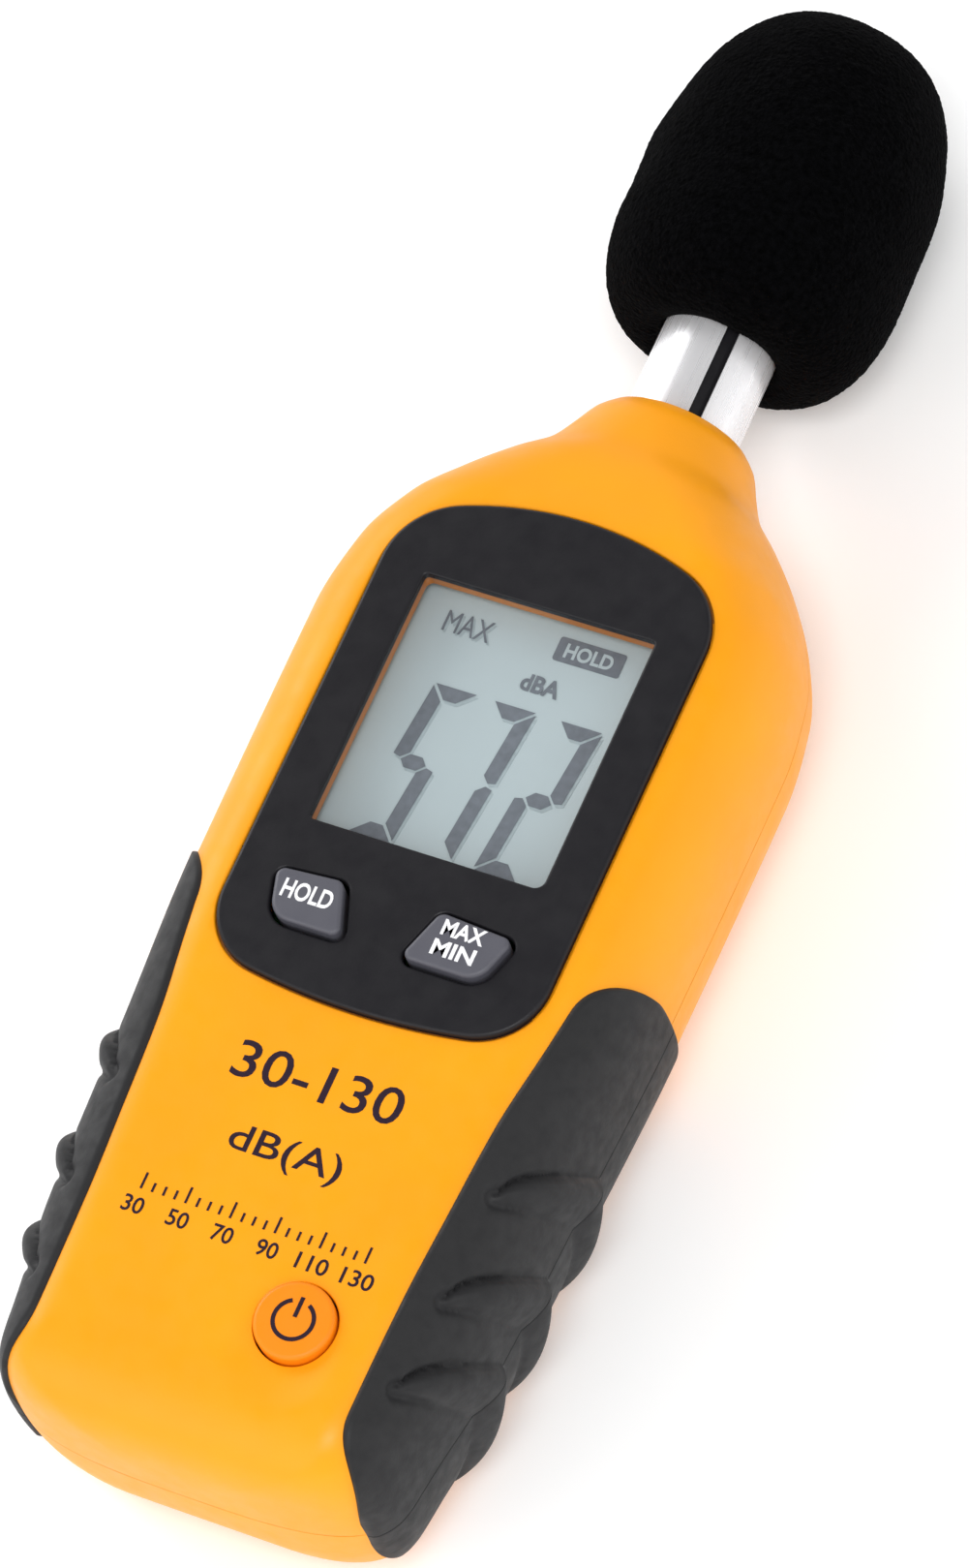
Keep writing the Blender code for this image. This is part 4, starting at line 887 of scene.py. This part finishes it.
def make_keys():
    for name, corners in (("hold", HOLD_CORNERS), ("max_min", MAX_MIN_CORNERS)):
        key = stack(key_outline(corners), *rounded_top(KEY_LOW, KEY_TOP, 0.45, steps=7))
        finished(f"{name}_key_cap", key, GREY, f"{name}_key", "key_grey", (f"{name}_button",), 40.0)
    print_z = KEY_TOP + 0.02
    lettering("hold_print", "HOLD", (5.6, 2.1), (-9.2, -23.1, print_z), WHITE_INK, 0.05, "hold_key")
    lettering("max_print", "MAX", (4.7, 1.75), (7.9, -22.0, print_z), WHITE_INK, 0.05, "max_min_key")
    lettering("min_print", "MIN", (4.7, 1.75), (7.7, -24.3, print_z), WHITE_INK, 0.05, "max_min_key")
    x, y = POWER_X, POWER_Y
    key = stack(round_outline(x, y, POWER_R), *rounded_top(KEY_LOW, POWER_TOP, 0.5, steps=7))
    finished("power_key_cap", key, ORANGE_KEY, "power_key", "key_orange", ("power_button",), 40.0)
    ring = []
    for radius, turn in ((2.3, 1), (1.86, -1)):
        ring += [(x + radius * math.cos(a), y + radius * math.sin(a))
                 for a in (math.radians(270 + turn * swing) for swing in np.linspace(-154, 154, 61))]
    bar = [(x - 0.22, y + 0.3), (x + 0.22, y + 0.3), (x + 0.22, y + 2.5), (x - 0.22, y + 2.5)]
    flat_shapes("power_symbol", [ring, bar], POWER_TOP + 0.01, DARK_INK, body="power_key")


# ---------------------------------------------------------------- print on the casing

def make_print():
    z = SKIN_Z + 0.015
    lettering("range_print", "30-130", (18.6, 4.1), (0.0, -41.3, z), DARK_INK, 0.02)
    lettering("unit_print", "dB(A)", (12.4, 3.8), (0.0, -49.7, z), DARK_INK, 0.02)
    ticks = []
    for k in range(TICKS):
        x = -SCALE_X + 2 * SCALE_X * k / (TICKS - 1)
        top = SCALE_Y + (1.8 if k % 4 == 0 else 1.0)
        left, right = x - TICK_HALF, x + TICK_HALF
        ticks.append([(left, SCALE_Y), (right, SCALE_Y), (right, top), (left, top)])
    flat_shapes("scale_print", ticks, z, DARK_INK)
    for k in range(6):
        number = str(30 + 20 * k)
        at = (-SCALE_X + 5.0 * k, -59.5, z)
        lettering(f"scale_number_{k + 1}", number, (1.15 * len(number), 1.8), at, DARK_INK, 0.02)


# ---------------------------------------------------------------- microphone

def make_sleeve():
    bm = bmesh.new()
    bore, chamfer = SLEEVE_R - SLEEVE_WALL, SLEEVE_CHAMFER
    add_turned(bm, ((bore, SLEEVE_HIGH), (SLEEVE_R - chamfer, SLEEVE_HIGH), (SLEEVE_R, SLEEVE_HIGH - chamfer),
                    (SLEEVE_R, SLEEVE_LOW + chamfer), (SLEEVE_R - chamfer, SLEEVE_LOW), (bore, SLEEVE_LOW)),
               (0, 0, AXIS_Z), 192)
    slot = block((-SLOT_WIDTH / 2, SLOT_Y[0], 3.0), (SLOT_WIDTH / 2, SLOT_Y[1], 10.0))
    slot.transform(Matrix.Translation((0, 0, AXIS_Z)) @ Matrix.Rotation(math.radians(SLOT_ANGLE), 4, 'Y'))
    finished("microphone_sleeve", cut(bm, slot), SILVER, slot="silver_sleeve", replaces=("mic_sleeve",))
    cap = bmesh.new()
    add_turned(cap, ((CAP_R, CAP_HIGH), (5.9, CAP_HIGH), (SLEEVE_R, 87.8), (SLEEVE_R, CAP_LOW),
                     (CAP_R, CAP_LOW)), (0, 0, AXIS_Z), 128)
    finished("microphone_cap", cap, SILVER, slot="silver_sleeve", replaces=("mic_cap",))


def foam_radii(count):
    """The foam's outside as (radius, y), evenly spaced along a smooth curve."""
    table = np.array(FOAM_PROFILE)
    run = np.concatenate([[0.0], np.cumsum(np.hypot(*np.diff(table, axis=0).T))])
    return [(through(s, run, table[:, 0]), through(s, run, table[:, 1]))
            for s in np.linspace(0.0, run[-1], count)]


def make_windscreen():
    """Foam ball with a blind bore. Its skin is pushed in and out like cut open-cell foam."""
    bm = bmesh.new()
    outside = [(max(r, 0.0), y) for r, y in foam_radii(210)]
    outside[-1] = (0.0, outside[-1][1])
    bore = [(0.0, FOAM_BORE_END), (BORE_R, FOAM_BORE_END), (BORE_R, 72.0)]
    add_turned(bm, list(reversed(outside)) + list(reversed(bore)), (0, 0, AXIS_Z), 300)
    bm.verts.ensure_lookup_table()
    bm.normal_update()
    axis = Vector((0, 0, AXIS_Z))
    for v in bm.verts:
        away = v.co - axis
        if math.hypot(away.x, away.z) < BORE_R + 0.3 and v.co.y < 93.0:
            continue
        lumps = noise.noise(v.co * 0.14) * 0.3
        pores = noise.noise(v.co * 1.6) * 0.06 + noise.noise(v.co * 2.9) * 0.10
        v.co += v.normal * (lumps + pores)
    screen = finished("foam_windscreen", bm, FOAM, "foam", "black_foam", ("windscreen",), 180.0)


# ---------------------------------------------------------------- inside

def make_cells():
    for number, (x, nub_up) in enumerate(CELLS, 1):
        way = 1 if nub_up else -1
        base = CELL_BASE_UP if nub_up else CELL_BASE_DOWN
        nub = (0.0, CELL_LENGTH), (1.6, CELL_LENGTH), (1.9, CELL_LENGTH - 0.3), (1.9, CELL_LENGTH - 1.0)
        upper_rim = (4.4, CELL_LENGTH - 1.0), (4.5, CELL_LENGTH - 0.8), (4.9, CELL_LENGTH - 0.8)
        sides = (CELL_R, CELL_LENGTH - 1.3), (CELL_R, 0.35)
        lower_rim = (4.9, 0.05), (4.4, 0.05), (4.3, 0.0), (0.0, 0.0)
        profile = nub + upper_rim + sides + lower_rim
        bm = bmesh.new()
        add_turned(bm, [(r, way * y) for r, y in profile], (x, base, CELL_Z), 64)
        cell = finished(f"cell_{number}", bm, WRAP, slot="cell_wrap", replaces=(f"battery_{number}",))
        paint_faces(cell, NICKEL, lambda px, _, pz, x=x: math.hypot(px - x, pz - CELL_Z) < 4.45)


def dress_inside():
    """Finishes for the pieces that keep their CAD shape."""
    looks = {"black_plastic": BLACK, "key_grey": GREY, "grip_rubber": RUBBER, "screw_steel": STEEL,
             "nickel_contact": NICKEL, "circuit_board": BOARD, "clear_lens": LENS, "lcd_glass": LCD,
             "red_insulation": RED_WIRE, "cell_wrap": WRAP, "silver_sleeve": SILVER, "orange_shell": ORANGE,
             "key_orange": ORANGE_KEY, "black_foam": FOAM}
    own = {"controller_chip": CHIP, "amplifier_chip": CHIP, "mic_cable": BLACK_WIRE,
           "mic_socket": WHITE_PART, "battery_wire_negative": BLACK_WIRE}
    for part in frame["record"]["subparts"]:
        node = frame["nodes"][part["node"]]
        node.data.materials.clear()
        node.data.materials.append(own.get(part["node"], looks[part["material_slot"]]))


# ---------------------------------------------------------------- stage

def make_floor():
    floor_look = Look("pale_floor", (0.93, 0.93, 0.93), 0.9, Emission_Color=(1.0, 1.0, 1.0, 1.0),
                      Emission_Strength=0.14)
    floor_look.tint(floor_look.noise(400.0), 0.995, 1.005)
    bm = bmesh.new()
    bmesh.ops.create_grid(bm, x_segments=1, y_segments=1, size=2500.0)
    bm.transform(Matrix.Scale(MM, 4))
    mesh = bpy.data.meshes.new("floor")
    bm.to_mesh(mesh)
    bm.free()
    floor = bpy.data.objects.new("floor", mesh)
    floor.data.materials.append(floor_look.material)
    bpy.context.scene.collection.objects.link(floor)


def make_world():
    """Even white light from below the horizon to half way up, darker overhead."""
    world = bpy.data.worlds.new("studio")
    world.use_nodes = True
    nodes, links = world.node_tree.nodes, world.node_tree.links
    direction = nodes.new('ShaderNodeTexCoord')
    height = nodes.new('ShaderNodeSeparateXYZ')
    ramp = nodes.new('ShaderNodeValToRGB')
    ramp.color_ramp.interpolation = 'EASE'
    elements = ramp.color_ramp.elements
    elements.new(0.5)
    for element, (position, glow) in zip(elements, ((0.0, 1.0), (0.45, 0.85), (0.85, 0.24))):
        element.position = position
        element.color = (glow, glow, glow, 1.0)
    links.new(direction.outputs["Generated"], height.inputs["Vector"])
    links.new(height.outputs["Z"], ramp.inputs["Fac"])
    links.new(ramp.outputs["Color"], nodes["Background"].inputs["Color"])
    bpy.context.scene.world = world


def make_lamps():
    """Square soft boxes, in metres and watts, all turned to the middle of the meter."""
    target = Vector((0.0, 0.0, 0.02))
    for name, at, size, power in (("front_light", (-0.35, -0.85, 0.72), 0.9, 3.4),
                                  ("left_light", (-0.95, 0.35, 0.55), 0.6, 4.8),
                                  ("right_light", (0.95, -0.10, 0.60), 0.8, 1.2),
                                  ("high_light", (0.30, -0.35, 1.15), 0.5, 6.8)):
        data = bpy.data.lights.new(name, 'AREA')
        data.shape, data.size, data.energy = 'SQUARE', size, power
        lamp = bpy.data.objects.new(name, data)
        lamp.location = at
        lamp.rotation_euler = (target - Vector(at)).to_track_quat('-Z', 'Y').to_euler()
        bpy.context.scene.collection.objects.link(lamp)


def make_camera():
    data = bpy.data.cameras.new("camera")
    data.lens, data.sensor_width = CAMERA_LENS, 36.0
    data.clip_start, data.clip_end = 0.05, 10.0
    camera = bpy.data.objects.new("camera", data)
    camera.location = CAMERA_AT
    camera.rotation_euler = [math.radians(a) for a in CAMERA_TURN]
    bpy.context.scene.collection.objects.link(camera)
    bpy.context.scene.camera = camera


def main():
    dress_inside()
    make_front_shell()
    make_rear_shell()
    make_battery_door()
    make_grips()
    make_bezel()
    make_lcd()
    make_keys()
    make_print()
    make_sleeve()
    make_windscreen()
    make_cells()
    make_floor()
    make_world()
    make_lamps()
    make_camera()
    bpy.context.scene.view_settings.view_transform = 'Standard'


main()
